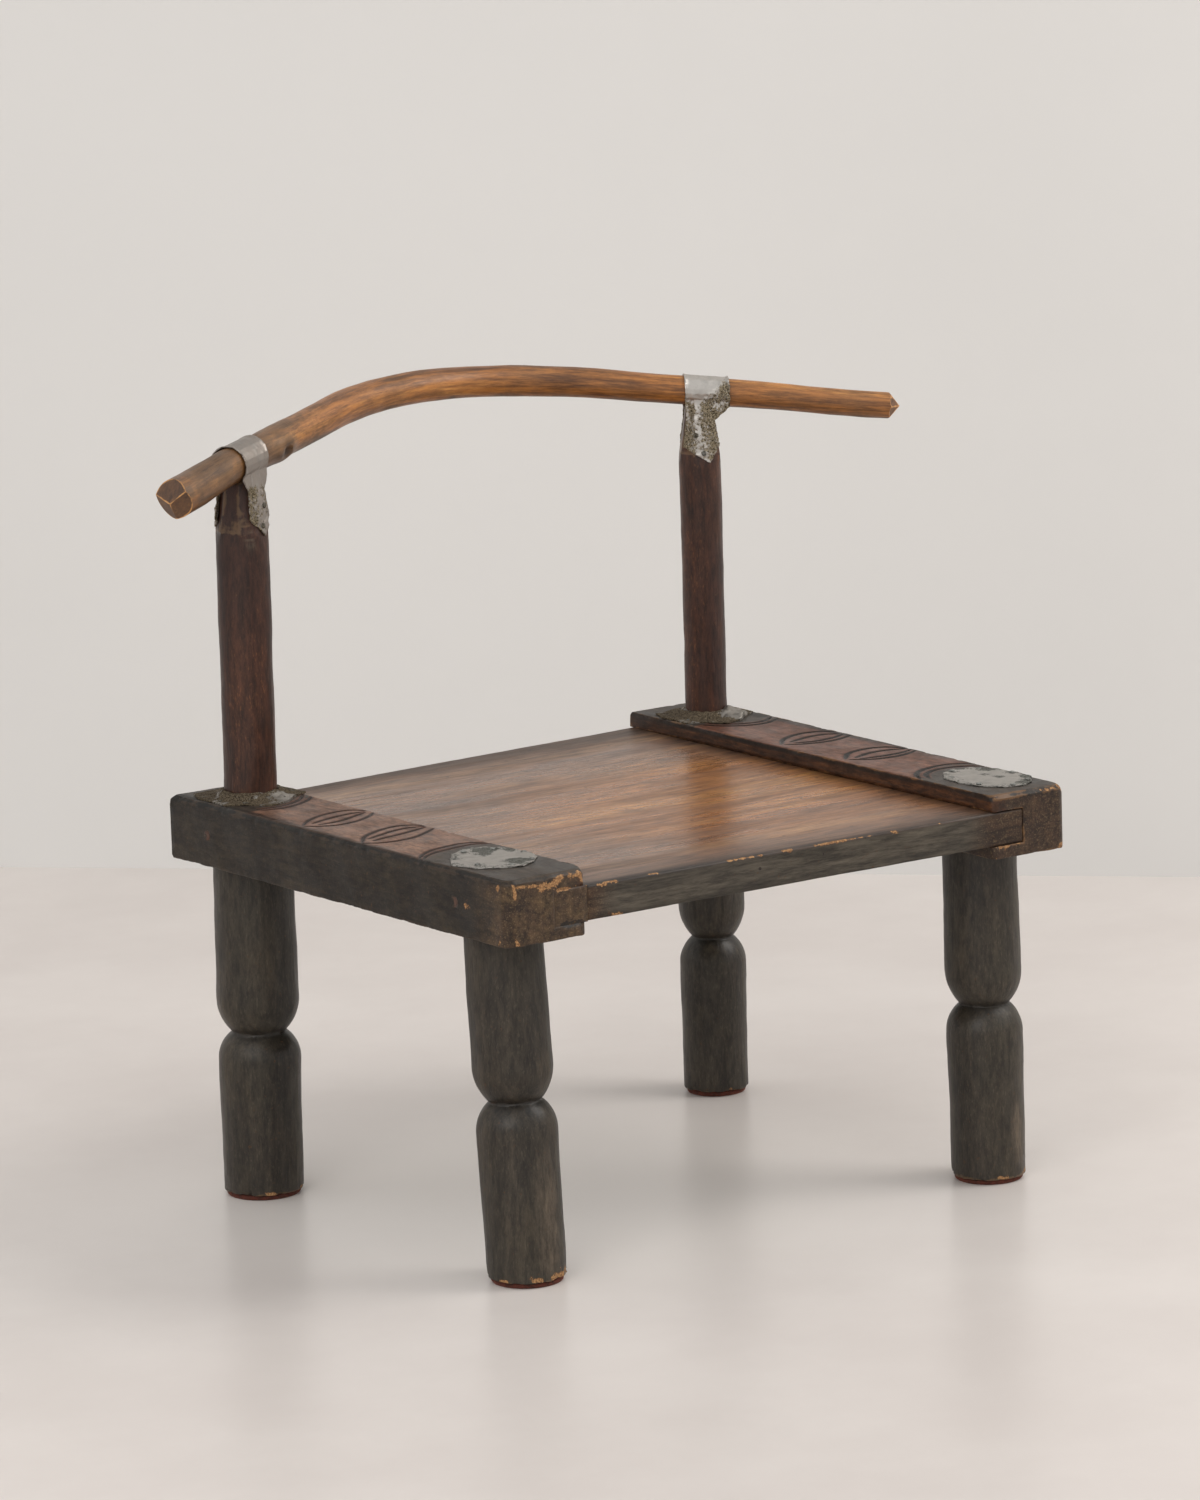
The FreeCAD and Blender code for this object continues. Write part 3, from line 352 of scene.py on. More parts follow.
class Finish(Shading):
    """A material: its wiring, its Principled shader and the piece's own coordinates."""

    def __init__(self, name):
        self.material = bpy.data.materials.new(name)
        self.material.use_nodes = True
        super().__init__(self.material.node_tree)
        self.shader = self.tree.nodes["Principled BSDF"]
        self.place = self.put("TexCoord").outputs["Object"]

    def made(self, **values):
        """Sets shader inputs, named with underscores."""
        for name, value in values.items():
            self.wire(value, self.shader.inputs[name.replace("_", " ")])
        return self.material

    def bumped(self, height, strength, distance):
        bump = self.put("Bump", {"Height": height, "Strength": strength, "Distance": distance})
        self.wire(bump.outputs[0], self.shader.inputs["Normal"])

    def painted(self, name):
        """A value painted on the piece's vertices."""
        return self.put("Attribute", attribute_name=name).outputs["Fac"]

    def turned(self, place, turn=(0, 0, 0), start=(0, 0, 0)):
        """The coordinate turned, so that its X runs along the grain, or moved."""
        return self.put("Mapping", {"Vector": place, "Location": start, "Rotation": turn}).outputs[0]

    def shared(self, group, **inputs):
        """A shared group, with its inputs named with underscores."""
        node = self.put("Group", node_tree=group)
        for name, value in inputs.items():
            self.wire(value, node.inputs[name.replace("_", " ")])
        return node.outputs

    def wood(self, grain, tones, bands=28.0, lines=420.0):
        """Wood figure in three tones, from deep to pale."""
        deep, main, pale = tones.split()
        return self.shared(WOOD_FIGURE, Grain=grain, Deep=deep, Main=main, Pale=pale,
                           Band_Scale=bands, Line_Scale=lines)

    def grime(self, place, scale, cover):
        return self.shared(OLD_GRIME, Place=place, Scale=scale, Cover=cover)

    def rubbed(self, reach):
        far = self.painted("edge")
        return self.shared(RUBBED_EDGES, Place=self.place, Distance=far, Reach=reach)["Mask"]

    def broken(self, name):
        return self.shared(BROKEN_SKIN, Place=self.place, Share=self.painted(name))

    def gritty(self, place, colour, low, high="ffffff"):
        """Fine light and dark grit all over a colour."""
        grit = self.step(self.noise(place, 240.0, 12.0, 0.8), 0.34, 0.64)
        bright = self.mixed(1.0, high, (1.45, 1.42, 1.36, 1.0), "MULTIPLY")
        return self.mixed(1.0, colour, self.mixed(grit, low, bright), "MULTIPLY")

    def worn_down(self, grit_place, colour, rub_tone, reach, grit_low="9c9a98"):
        """Rubbed arrises, skin broken off pale splintery wood, dark seams: the colour and the bare mask."""
        edges, skin = self.rubbed(reach), self.broken("bare")
        splinters = self.noise(self.place, 700.0, 5.0, 0.7)
        pale = self.mixed(self.step(splinters, 0.36, 0.66), "69472c", "b58b5e")
        colour = self.gritty(grit_place, colour, grit_low)
        colour = self.over(colour, rub_tone, edges, 0.45)
        colour = self.over(colour, "4c3320", skin["Rim"], 0.5)
        colour = self.mixed(skin["Mask"], colour, pale)
        seams = self.broken("seam")["Mask"]
        return self.over(colour, "14110f", seams, 0.85), skin["Mask"]

    def worn_end(self, tones):
        """Handled, mottled wood near the front: brown ground, tan rubs and pin-head flecks."""
        dark, mid, light = tones.split()
        ground = self.grime(self.place, 48.0, 0.5)
        rubs = self.grime(self.turned(self.place, start=(0.7, 0.2, 0.4)), 75.0, 0.42)
        colour = self.mixed(ground["Mask"], mid, dark)
        colour = self.over(colour, light, rubs["Mask"], 0.65)
        return self.over(colour, "8f7c5c", ground["Speckle"], 0.3)


def make_seat_finish():
    f = Finish("waxed_seat_wood")
    top, shade = f.painted("top"), f.painted("shade")
    cool_wood = f.wood(f.place, "594235 785843 93704f", 20.0, 330.0)
    warm_wood = f.wood(f.place, "694327 8f5f38 b08048", 16.0, 330.0)
    share = f.plus(f.painted("warm"), f.added(f.noise(f.place, 9.0, 4.0), 0.9, -0.45))
    colour = f.mixed(f.step(share, 0.15, 0.85), cool_wood["Color"], warm_wood["Color"])
    streaks = f.stretched(f.place, (0.12, 1, 1))
    grime = f.grime(streaks, 42.0, 0.44)["Mask"]
    colour = f.over(colour, "3c2b20", grime, 0.42)
    ruffled = f.added(f.noise(streaks, 60.0, 5.0), 0.7, -0.35)
    rim = f.plus(shade, f.times(ruffled, shade))
    colour = f.mixed(f.times(rim, 0.75, clamp=True), colour, "221d19")
    sides = f.wood(f.place, "26231f 3a352e 4e483f", lines=300.0)["Color"]
    sides = f.mixed(f.painted("worn_end"), sides, f.worn_end("2e2118 3f2d20 523d29"))
    colour = f.mixed(top, sides, colour)
    specks = f.shared(WORM_SPECKS, Place=f.place, Scale=75.0, Share=0.3, Size=0.1)["Mask"]
    checks = f.step(f.painted("carved"), 0.5, 0.75)
    colour = f.mixed(f.maths("MAXIMUM", f.times(specks, 0.85), checks), colour, "1b1411")
    colour, bare = f.worn_down(streaks, colour, "6a5640", 0.0018, "a8a29c")
    dull = f.plus(f.added(grime, 0.12, 0.27), f.added(top, -0.26, 0.26))
    dull = f.plus(f.plus(dull, f.times(shade, 0.22)), f.times(bare, 0.3))
    f.bumped(f.minus(cool_wood["Height"], f.times(specks, 2.0)), 0.25, 0.00035)
    return f.made(Base_Color=colour, Roughness=dull, Specular_IOR_Level=0.45)


def make_rail_finish(name, brown_tones, end_tones, rub_tone, cut_tone):
    f = Finish(name)
    grain = f.turned(f.place, turn=(0, 0, math.radians(90)))
    flank = f.wood(grain, "17120e 201a14 2e251b", 30.0, 300.0)
    grime = f.grime(f.place, 30.0, 0.5)
    olive = f.grime(f.turned(f.place, start=(0.4, 0.9, 0.1)), 26.0, 0.46)["Mask"]
    side = f.over(flank["Color"], "3e3424", olive, 0.35)
    side = f.over(side, "564a38", grime["Speckle"], 0.2)
    side = f.mixed(f.painted("worn_end"), side, f.worn_end(end_tones))
    side = f.mixed(f.painted("lip"), side, f.wood(grain, "26170f 3f2718 664026", 70.0)["Color"])
    dark_top = f.over("2a2520", "413b33", grime["Mask"], 0.7)
    top = f.mixed(f.painted("dark_end"), f.wood(grain, brown_tones, 34.0)["Color"], dark_top)
    top = f.over(top, "47362d", grime["Mask"], 0.2)
    colour = f.mixed(f.painted("top"), side, top)
    cut = f.painted("carved")
    colour = f.over(colour, "573323", f.step(cut, 0.1, 0.38), 0.85)
    colour = f.mixed(f.step(cut, 0.42, 0.68), colour, cut_tone)
    colour = f.over(colour, "14120f", f.painted("shade"), 0.75)
    colour, bare = f.worn_down(f.stretched(f.place, (1, 0.3, 1)), colour, rub_tone, 0.0024)
    dull = f.plus(f.added(grime["Mask"], 0.16, 0.4), f.times(bare, 0.25))
    f.bumped(f.plus(flank["Height"], f.times(grime["Mask"], 0.7)), 0.4, 0.0004)
    return f.made(Base_Color=colour, Roughness=dull, Specular_IOR_Level=0.32)


def make_leg_finish():
    f = Finish("blackened_leg_wood")
    grain = f.turned(f.place, turn=(0, math.radians(90), 0))
    dark = f.wood(grain, "211d19 2d2822 3b342c", 20.0, 240.0)
    red = f.wood(grain, "291812 3d2419 52301f", 38.0, 360.0)
    drawn = f.stretched(f.place, (1, 1, 0.3))
    grime = f.grime(drawn, 22.0, 0.5)
    rub = f.grime(f.turned(drawn, start=(0.3, 0.1, 0.7)), 36.0, 0.42)["Mask"]
    leg = f.over(dark["Color"], "413c32", grime["Mask"], 0.4)
    leg = f.over(leg, "4a3f31", rub, 0.3)
    leg = f.over(leg, "5b5246", grime["Speckle"], 0.22)
    post = f.over(red["Color"], "291c1b", grime["Mask"], 0.5)
    post = f.over(post, "5d3a2a", rub, 0.35)
    post = f.over(post, "7a4f30", f.times(grime["Speckle"], rub), 0.6)
    height = f.put("SeparateXYZ", {0: f.place}).outputs["Z"]
    colour = f.mixed(f.step(height, 0.300, 0.308), leg, post)
    worn = f.added(f.noise(drawn, 90.0, 7.0, 0.7), 2.6, -0.6)
    worn = f.step(f.times(worn, f.painted("rub")), 0.1, 0.75)
    colour = f.over(colour, "63574a", worn, 0.55)
    # Painted shade: a dark ring in the hollow of each leg's waist.
    colour = f.over(colour, "1f1d1b", f.painted("hollow"), 0.6)
    colour, bare = f.worn_down(f.stretched(f.place, (1, 1, 0.25)), colour, "7a5f42", 0.003, "bab8b6")
    dull = f.plus(f.added(grime["Mask"], 0.14, 0.36), f.times(bare, 0.3))
    f.bumped(f.plus(dark["Height"], f.times(rub, 0.6)), 0.35, 0.0004)
    return f.made(Base_Color=colour, Roughness=dull, Specular_IOR_Level=0.36)


def make_branch_finish():
    """Wood whose figure follows the branch: along it, and round it."""
    f = Finish("handled_branch_wood")
    grain = f.put("Attribute", attribute_name="branch_grain").outputs["Vector"]
    wood = f.wood(grain, "6c4322 a26a34 c58b4a", 42.0)
    grime = f.grime(grain, 26.0, 0.46)["Mask"]
    streaks = f.grime(f.stretched(grain, (0.16, 1, 1)), 120.0, 0.4)["Mask"]
    colour = f.over(wood["Color"], "6e5136", grime, 0.35)
    colour = f.over(colour, "4a3120", streaks, 0.55)
    # Darker with dirt, and with painted shade on the branch's underside.
    dirt_and_shade = f.plus(f.painted("dirt_and_shade"), f.added(grime, 0.5, -0.3))
    colour = f.over(colour, "54402b", f.step(dirt_and_shade, 0.2, 0.95), 0.8)
    colour = f.mixed(f.painted("carved"), colour, "2b1c12")
    colour = f.gritty(f.stretched(grain, (0.1, 1, 1)), colour, "b2aba4", "f0f0f0")
    f.bumped(f.minus(wood["Height"], f.times(streaks, 0.6)), 0.4, 0.0004)
    return f.made(Base_Color=colour, Roughness=f.added(grime, 0.15, 0.38))


def make_knife_cut_finish():
    f = Finish("knife_cut_end_grain")
    wood = f.wood(f.turned(f.place, turn=(0.5, 0.7, 0.3)), "4a2f1c 755032 94693f", 90.0, 500.0)
    colour = f.over(wood["Color"], "3a281c", f.grime(f.place, 130.0, 0.4)["Mask"], 0.5)
    # Darker by the branch's painted values: dirt, and painted shade on the underside.
    colour = f.over(colour, "3a2a20", f.painted("dirt_and_shade"), 0.5)
    f.bumped(wood["Height"], 0.5, 0.0004)
    return f.made(Base_Color=f.mixed(f.rubbed(0.0016), colour, "c08c55"), Roughness=0.5)


def make_sheet_finish(name, tones, pitted, roughness, marks):
    """Beaten sheet: bright, and dark to crusted in its pits, which follow the piece's painted share."""
    f = Finish(name)
    bright, dark, crusted = tones.split()
    share = f.plus(f.painted("pitted"), pitted)
    sheet = f.shared(BEATEN_SHEET, Place=f.place, Mark_Scale=marks, Pitted=share)
    pits, grime = sheet["Pits"], f.grime(f.place, 90.0, 0.42)["Mask"]
    colour = f.over(bright, "8b8a86", grime, 0.4)
    crust = f.step(f.noise(f.place, 900.0, 5.0, 0.7), 0.38, 0.62)
    colour = f.mixed(pits, colour, f.mixed(crust, dark, crusted))
    dull = f.plus(f.added(pits, 0.3, roughness), f.times(grime, 0.1))
    f.bumped(sheet["Height"], 0.6, 0.0006)
    return f.made(Base_Color=colour, Metallic=f.added(pits, -0.85, 0.9), Roughness=dull,
                  Specular_IOR_Level=f.added(pits, -0.46, 0.5))


def make_peg_finish():
    f = Finish("peg_end_grain")
    wood = f.wood(f.place, "33211a 543627 6e4a35", 150.0, 700.0)
    colour = f.over(wood["Color"], "2c2420", f.grime(f.place, 150.0, 0.5)["Mask"], 0.5)
    f.bumped(wood["Height"], 0.4, 0.0003)
    return f.made(Base_Color=colour, Roughness=0.6)


def make_felt_finish():
    f = Finish("pressed_felt")
    fibres = f.noise(f.place, 1400.0, 4.0, 0.7)
    clumps = f.noise(f.place, 260.0, 5.0, 0.6)
    tone = f.plus(f.times(fibres, 0.5), f.times(clumps, 0.5))
    f.bumped(tone, 0.7, 0.0005)
    return f.made(Base_Color=f.mixed(f.step(tone, 0.38, 0.6), "33180f", "5f2d20"), Roughness=0.95,
                  Sheen_Weight=0.4, Sheen_Tint="a0604c")


# ---------------------------------------------------------------- bench work on the pieces

def stock_of(node, triangles=True):
    """A merged copy of a CAD node's mesh."""
    stock = bmesh.new()
    stock.from_mesh(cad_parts[node].data)
    bmesh.ops.remove_doubles(stock, verts=stock.verts, dist=1e-6)
    bmesh.ops.dissolve_limit(stock, angle_limit=math.radians(0.3), verts=stock.verts, edges=stock.edges)
    if triangles:
        bmesh.ops.triangulate(stock, faces=stock.faces)
    return stock


def verts_of(geometry):
    return [g for g in geometry if isinstance(g, bmesh.types.BMVert)]


def edges_of(geometry):
    return [g for g in geometry if isinstance(g, bmesh.types.BMEdge)]


def split_faces(stock, corners):
    """Makes triangles of the faces with more corners, and returns the new edges."""
    return bmesh.ops.triangulate(stock, faces=[f for f in stock.faces if len(f.verts) > corners])["edges"]


def sliced(stock, place, way, **settings):
    """Cuts everything on a plane, and returns what lies on it."""
    return bmesh.ops.bisect_plane(stock, geom=stock.verts[:] + stock.edges[:] + stock.faces[:], dist=1e-7,
                                  plane_co=place, plane_no=way, **settings)["geom_cut"]


def scored(stock, pitch, axes="xyz"):
    """Cuts every face on planes a pitch apart, in metres."""
    for axis in axes:
        way = Vector([float(axis == other) for other in "xyz"])
        places = [v.co["xyz".index(axis)] for v in stock.verts]
        low, high = min(places), max(places)
        count = max(1, round((high - low) / pitch))
        for cut in range(1, count):
            sliced(stock, way * (low + (high - low) * cut / count), way)
    bmesh.ops.triangulate(stock, faces=stock.faces)


def near_tree(points):
    tree = kdtree.KDTree(len(points))
    for number, point in enumerate(points):
        tree.insert(point, number)
    tree.balance()
    return tree


def arris_tree(stock, keep=lambda place: True, angle=35.0):
    """Points 1.5 mm apart along the sharp edges, for wear and for rounding."""
    points = []
    for edge in stock.edges:
        if len(edge.link_faces) == 2 and edge.calc_face_angle(0) > math.radians(angle):
            first, last = (v.co for v in edge.verts)
            if keep((first + last) / 2):
                count = max(1, int((last - first).length / 0.0015))
                points += [first.lerp(last, n / count) for n in range(count + 1)]
    return near_tree(points)


def refined(stock, tree, reach, finest):
    """Halves the edges near the tree's points until none is longer than the finest."""
    edges = stock.edges[:]
    for _ in range(7):
        long = []
        for edge in edges:
            length = edge.calc_length()
            if length > finest:
                middle = (edge.verts[0].co + edge.verts[1].co) / 2
                if tree.find(middle)[2] < reach + length / 2:
                    long.append(edge)
        if not long:
            return
        made = bmesh.ops.subdivide_edges(stock, edges=long, cuts=1)
        edges = dict.fromkeys(edges_of(made["geom_inner"] + made["geom_split"]) + split_faces(stock, 3))


def between(value, low, high):
    """A soft step from 0 to 1."""
    share = min(1.0, max(0.0, (value - low) / (high - low)))
    return share * share * (3 - 2 * share)


def painted(stock, **rules):
    """Values on every vertex, each from a rule of the vertex."""
    for name, rule in rules.items():
        layer = stock.verts.layers.float.new(name)
        for vertex in stock.verts:
            vertex[layer] = rule(vertex)


def stroke_rule(strokes):
    """Rule that paints soft strokes: 1 on each one's line, falling to 0 at its width."""
    ways = [(at(*first), at(*last), width / 1000) for first, last, width in strokes]

    def rule(vertex):
        best = 0.0
        for first, last, width in ways:
            near, share = intersect_point_line(vertex.co, first, last)
            near = first if share < 0 else last if share > 1 else near
            best = max(best, 1 - (vertex.co - near).length / width)
        return best
    return rule


def marked(stock, node, arrises):
    """Paints how far off the arrises are, and the node's strokes."""
    painted(stock, edge=lambda v: arrises.find(v.co)[2],
            **{mark: stroke_rule(strokes.get(node, ())) for mark, strokes in STROKES.items()})


def moved(moves):
    """Moves vertices once every move is known."""
    for vertex, move in moves:
        vertex.co += move


def hewn(stock, depth, size, seed, share=lambda v: 1.0):
    """Uneven faces: the skin moves in and out by up to the depth, over bumps of the size, in metres."""
    stock.normal_update()
    shift = Vector((seed, seed * 0.7, -seed))
    moved([(v, v.normal * depth * share(v) * (noise.noise(v.co / size + shift)
            + 0.4 * noise.noise(v.co / size * 2.7 - shift))) for v in stock.verts])


def worn_arrises(stock, tree, reach, loss, size):
    """Takes chips out of the sharp edges and rounds them."""
    near = [(v, tree.find(v.co)[2]) for v in stock.verts]
    near = [(v, d) for v, d in near if d < reach]
    stock.normal_update()
    moves = []
    for vertex, distance in near:
        chip = max(0.0, noise.noise(vertex.co / size) + 0.45 * noise.noise(vertex.co / size * 3.1))
        moves.append((vertex, vertex.normal * -loss * chip * (1 - distance / reach)))
    moved(moves)
    for _ in range(2):
        bmesh.ops.smooth_vert(stock, verts=[v for v, d in near if d < reach * 0.7], factor=0.5,
                              use_axis_x=True, use_axis_y=True, use_axis_z=True)


def curve_points(corners, height):
    """Points 0.3 mm apart on a smooth line through the corners."""
    corners = [at(*corner, height) for corner in corners]
    ends = corners[:1] + corners + corners[-1:]
    points = []
    for a, b, c, d in zip(ends, ends[1:], ends[2:], ends[3:]):
        count = max(2, int((c - b).length / 0.0003))
        for t in (n / count for n in range(count)):
            points.append(0.5 * (2 * b + (c - a) * t + (2 * a - 5 * b + 4 * c - d) * t * t
                                 + (3 * b - a - 3 * c + d) * t ** 3))
    return points


def carved_in(stock, lines, height, width, depth, finest):
    """Cuts tapering V grooves along lines on a top face; paints 1 on the line down to 0 beside it."""
    points, strength = [], []
    for line in lines:
        made = curve_points(line, height)
        points += made
        strength += [0.35 + 0.65 * math.sin(math.pi * (n + 0.5) / len(made)) ** 0.5 for n in range(len(made))]
    tree = near_tree(points)
    refined(stock, tree, width * 1.1, finest)
    layer = stock.verts.layers.float.new("carved")
    stock.normal_update()
    cuts = []
    for vertex in stock.verts:
        _, number, distance = tree.find(vertex.co)
        half = width / 2 * strength[number]
        if distance < half * 2.2 and vertex.normal.z > 0.3:
            vertex[layer] = 1 - distance / (half * 2.2)
            cuts.append((vertex, depth * strength[number] * max(0.0, 1 - distance / half)))
    for vertex, cut in cuts:
        vertex.co.z -= cut


def cleaned(stock):
    """Closes up slivers and takes out pairs of faces that lie folded on each other."""
    for _ in range(2):
        bmesh.ops.dissolve_degenerate(stock, dist=3e-5, edges=stock.edges)
        split_faces(stock, 4)
        first, folded = {}, []
        for face in stock.faces:
            partner = first.setdefault(frozenset(face.verts), face)
            if partner is not face:
                folded += [partner, face]
        if not folded:
            return
        bmesh.ops.delete(stock, geom=list(dict.fromkeys(folded)), context="FACES")


def in_scene(name, data):
    item = bpy.data.objects.new(name, data)
    bpy.context.scene.collection.objects.link(item)
    return item


def mesh_item(name, stock, finishes):
    """The stock as an object with its finishes."""
    mesh = bpy.data.meshes.new(name)
    stock.to_mesh(mesh)
    stock.free()
    for finish in finishes:
        mesh.materials.append(finish)
    return in_scene(name, mesh)


def piece(name, stock, finishes, nodes, sharp=50.0):
    """The finished mesh as a piece of the chair in place of its CAD nodes."""
    cleaned(stock)
    bmesh.ops.recalc_face_normals(stock, faces=stock.faces)
    item = mesh_item(name, stock, finishes)
    item.data.shade_smooth()
    item.data.set_sharp_from_angle(angle=math.radians(sharp))
    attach(item, "root")
    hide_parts(*nodes)


# ---------------------------------------------------------------- the pieces

def make_seat(finish):
    stock = stock_of("seat_board")
    arrises = arris_tree(stock, keep=lambda p: p.x > at(-185, 0).x)
    scored(stock, 0.006, "xy")
    scored(stock, 0.006, "z")
    front_y, front_slope = -217.5, 0.025
    front = near_tree([at(x, front_y - front_slope * (x + 182), z)
                       for x in range(-200, 215, 2) for z in (268, SEAT_TOP)])
    refined(stock, front, 0.003, 0.0016)
    hewn(stock, 0.00026, 0.06, 3.0)
    hewn(stock, 0.00010, 0.009, 5.0)
    middle = at(0, 0, SEAT_TOP)
    dish = 0.0012
    for vertex in stock.verts:
        if vertex.co.z > middle.z - 0.002:
            across = min(1.0, abs(vertex.co.x - middle.x) / 0.19)
            along = min(1.0, abs(vertex.co.y - middle.y) / 0.21)
            vertex.co.z -= dish * (1 - across ** 2) * (1 - along ** 2)
    worn_arrises(stock, arrises, 0.003, 0.0011, 0.013)
    housed = at(-182.8, -214)
    for vertex in stock.verts:
        if vertex.co.x < housed.x and vertex.co.y < housed.y:
            vertex.co.y += 0.0018
    left_end, right_end, warm_spot = at(-182, 0).x, at(182, 0).x, at(60, -40, 293)

    def shade(vertex):
        """Dark along the front, towards the rear and beside the rails."""
        from_front = vertex.co.y + front_slope * (vertex.co.x - left_end) - at(0, front_y).y
        edge_dark = 1.15 * (1 - between(from_front, 0.003, 0.016))
        front_dark = 0.55 * (1 - between(from_front, 0.0, 0.07))
        rear_dark = 0.9 * between(vertex.co.y - at(0, 160).y, 0.0, 0.06)
        side_dark = 0.75 * between(abs(vertex.co.x - middle.x), 0.165, 0.19)
        return max(edge_dark, front_dark, rear_dark, side_dark)

    marked(stock, "seat_board", arrises)
    painted(
        stock, shade=shade,
        top=lambda v: between(v.co.z, middle.z - 0.0022, middle.z - dish),
        warm=lambda v: 1 - between((v.co - warm_spot).length, 0.04, 0.26),
        worn_end=lambda v: (1 - between(v.co.y - housed.y, 0.01, 0.05)) * max(
            1 - between(v.co.x - left_end, 0.0, 0.028), between(v.co.x - right_end, -0.03, 0.0)),
    )
    carved_in(stock, SEAT_CHECKS, SEAT_TOP, 0.0018, 0.0005, 0.0014)
    piece("seat", stock, [finish], ["seat_board"])


def make_rail(side, finish):
    node = f"rail_{side}"
    front, front_radius, line_width, outside, lip, seed = RAILS[side]
    front, outside, lip, housed = at(*front), at(outside, 0).x, at(lip, 0).x, at(-214, -211)
    outward = -1 if side == "left" else 1
    stock = stock_of(node, triangles=False)
    corners = [e for e in stock.edges if all((v.co.xy - front.xy).length < 0.0036 for v in e.verts)
               and e.calc_length() > 0.002 and e.calc_face_angle(0) > 0.6]
    bmesh.ops.bevel(stock, geom=corners, offset=front_radius, segments=5, profile=0.5, affect="EDGES",
                    material=-1)
    if side == "left":
        low, high = at(-210.6, -218, 267.4), at(-182.7, -213, 293.5)
        block = Matrix.Translation((low + high) / 2) @ Matrix.Diagonal(high - low).to_4x4()
        bmesh.ops.create_cube(stock, size=1.0, matrix=block)
    bmesh.ops.triangulate(stock, faces=stock.faces)
    arrises = arris_tree(stock)
    scored(stock, 0.005)

    def at_joint(place):
        """On the left rail's front, where a block closes the mouth of the housing."""
        return side == "left" and place.x > housed.x and 0.266 < place.z < 0.295 and place.y < housed.y

    def free_skin(vertex):
        return float(not at_joint(vertex.co))

    outer = arris_tree(stock, keep=lambda p: not at_joint(p) and (
        p.y < at(0, -205).y or p.z > 0.301 or p.z < 0.2585))
    refined(stock, outer, 0.0028, 0.0017)
    hewn(stock, 0.00028, 0.04, seed, free_skin)
    hewn(stock, 0.00010, 0.007, 2.0, free_skin)
    worn_arrises(stock, outer, 0.0032, 0.0012, 0.012)
    marked(stock, node, arrises)
    painted(
        stock,
        top=lambda v: between(v.co.z, 0.3048, 0.3056),
        shade=lambda v: between(v.co.z, 0.3008, 0.3028) * max(
            1 - between(v.co.z, 0.3045, 0.3057),
            1 - between(abs(v.co.x - outside) + 0.002 * noise.noise(v.co / 0.018), 0.0022, 0.0062)),
        worn_end=lambda v: 1 - between(v.co.y - front.y, 0.003, 0.05),
        lip=lambda v: float(v.co.z > 0.292) * (1 - between(outward * (v.co.x - lip), 0.006, 0.008)),
    )
    carved_in(stock, CARVED_LINES[side], RAIL_TOP, line_width, 0.0015, 0.0009)
    front_arc, rear_arc = ([at(*p) for p in CARVED_LINES[side][n]] for n in DARK_END_ARCS)

    def arc_place(spots, x):
        """Y of an arc at a place across the rail."""
        for first, last in zip(spots, spots[1:]):
            if first.x <= x <= last.x:
                return first.y + (last.y - first.y) * (x - first.x) / (last.x - first.x)
        return spots[0].y if x < spots[0].x else spots[-1].y

    painted(stock, dark_end=lambda v: max(between(arc_place(front_arc, v.co.x) - v.co.y, 0.0, 0.003),
                                          between(v.co.y - arc_place(rear_arc, v.co.x), 0.0, 0.003)))
    piece(f"{side}_rail", stock, [finish], [node])


def make_leg(node, finish):
    stock = stock_of(node)
    arrises = arris_tree(stock, keep=lambda p: p.z < 0.006 or p.z > 0.4)
    scored(stock, 0.005, "z")
    foot = arris_tree(stock, keep=lambda p: p.z < 0.006)
    refined(stock, foot, 0.004, 0.0018)
    seed = sum(ord(c) for c in node) * 0.37
    hewn(stock, 0.00055, 0.035, seed)
    hewn(stock, 0.00014, 0.008, seed)
    worn_arrises(stock, foot, 0.004, 0.003, 0.011)
    marked(stock, node, arrises)
    waist = WAISTS[node] / 1000
    # Painted shade round the hollow of the waist.
    painted(stock, hollow=lambda v: 1 - between(abs(v.co.z - waist), 0.001, 0.006))
    piece(f"{node}_turned", stock, [finish], [node], 32.0)


def wander(x):
    """The branch's rise at a place across the chair."""
    for (low, first), (high, last) in zip(BOW_WANDER, BOW_WANDER[1:]):
        if x <= high:
            return first + (last - first) * between(x, low, high)
    return BOW_WANDER[-1][1]


def bow_stations():
    """Stations along the branch: place, direction and width, in millimetres."""
    out = {s: (BOW_CROSSINGS[s] - BOW_CORNER).normalized() for s in ("left", "right")}
    turn = math.pi - out["left"].angle(out["right"])
    tangent = BEND_RADIUS * math.tan(turn / 2)
    centre = BOW_CORNER + (out["left"] + out["right"]).normalized() * (BEND_RADIUS / math.cos(turn / 2))
    start, end = (BOW_CORNER + out[s] * tangent for s in ("left", "right"))
    axis = (start - centre).cross(end - centre).normalized()
    tips = {s: BOW_CROSSINGS[s] + out[s] * ARM_REACH[s] for s in out}
    stations = []

    def straight(first, last, widths):
        count = round((last - first).length / STATION_PITCH)
        for share in (n / count for n in range(count)):
            stations.append((first.lerp(last, share), (last - first).normalized(),
                             widths[0] + (widths[1] - widths[0]) * share))

    straight(tips["left"], BOW_CROSSINGS["left"], BOW_WIDTHS[0:2])
    straight(BOW_CROSSINGS["left"], start, BOW_WIDTHS[1:3])
    count = round(BEND_RADIUS * turn / STATION_PITCH)
    for n in range(count):
        spin = Matrix.Rotation(turn * n / count, 3, axis)
        stations.append((centre + spin @ (start - centre), spin @ -out["left"],
                         BOW_WIDTHS[2] + (BOW_WIDTHS[3] - BOW_WIDTHS[2]) * n / count))
    straight(end, tips["right"], BOW_WIDTHS[3:5])
    stations.append((tips["right"], out["right"], BOW_WIDTHS[4]))
    return [(place + UP * wander(place.x), along, width) for place, along, width in stations]


def bell(distance, reach):
    return math.exp(-(distance / reach) ** 2)


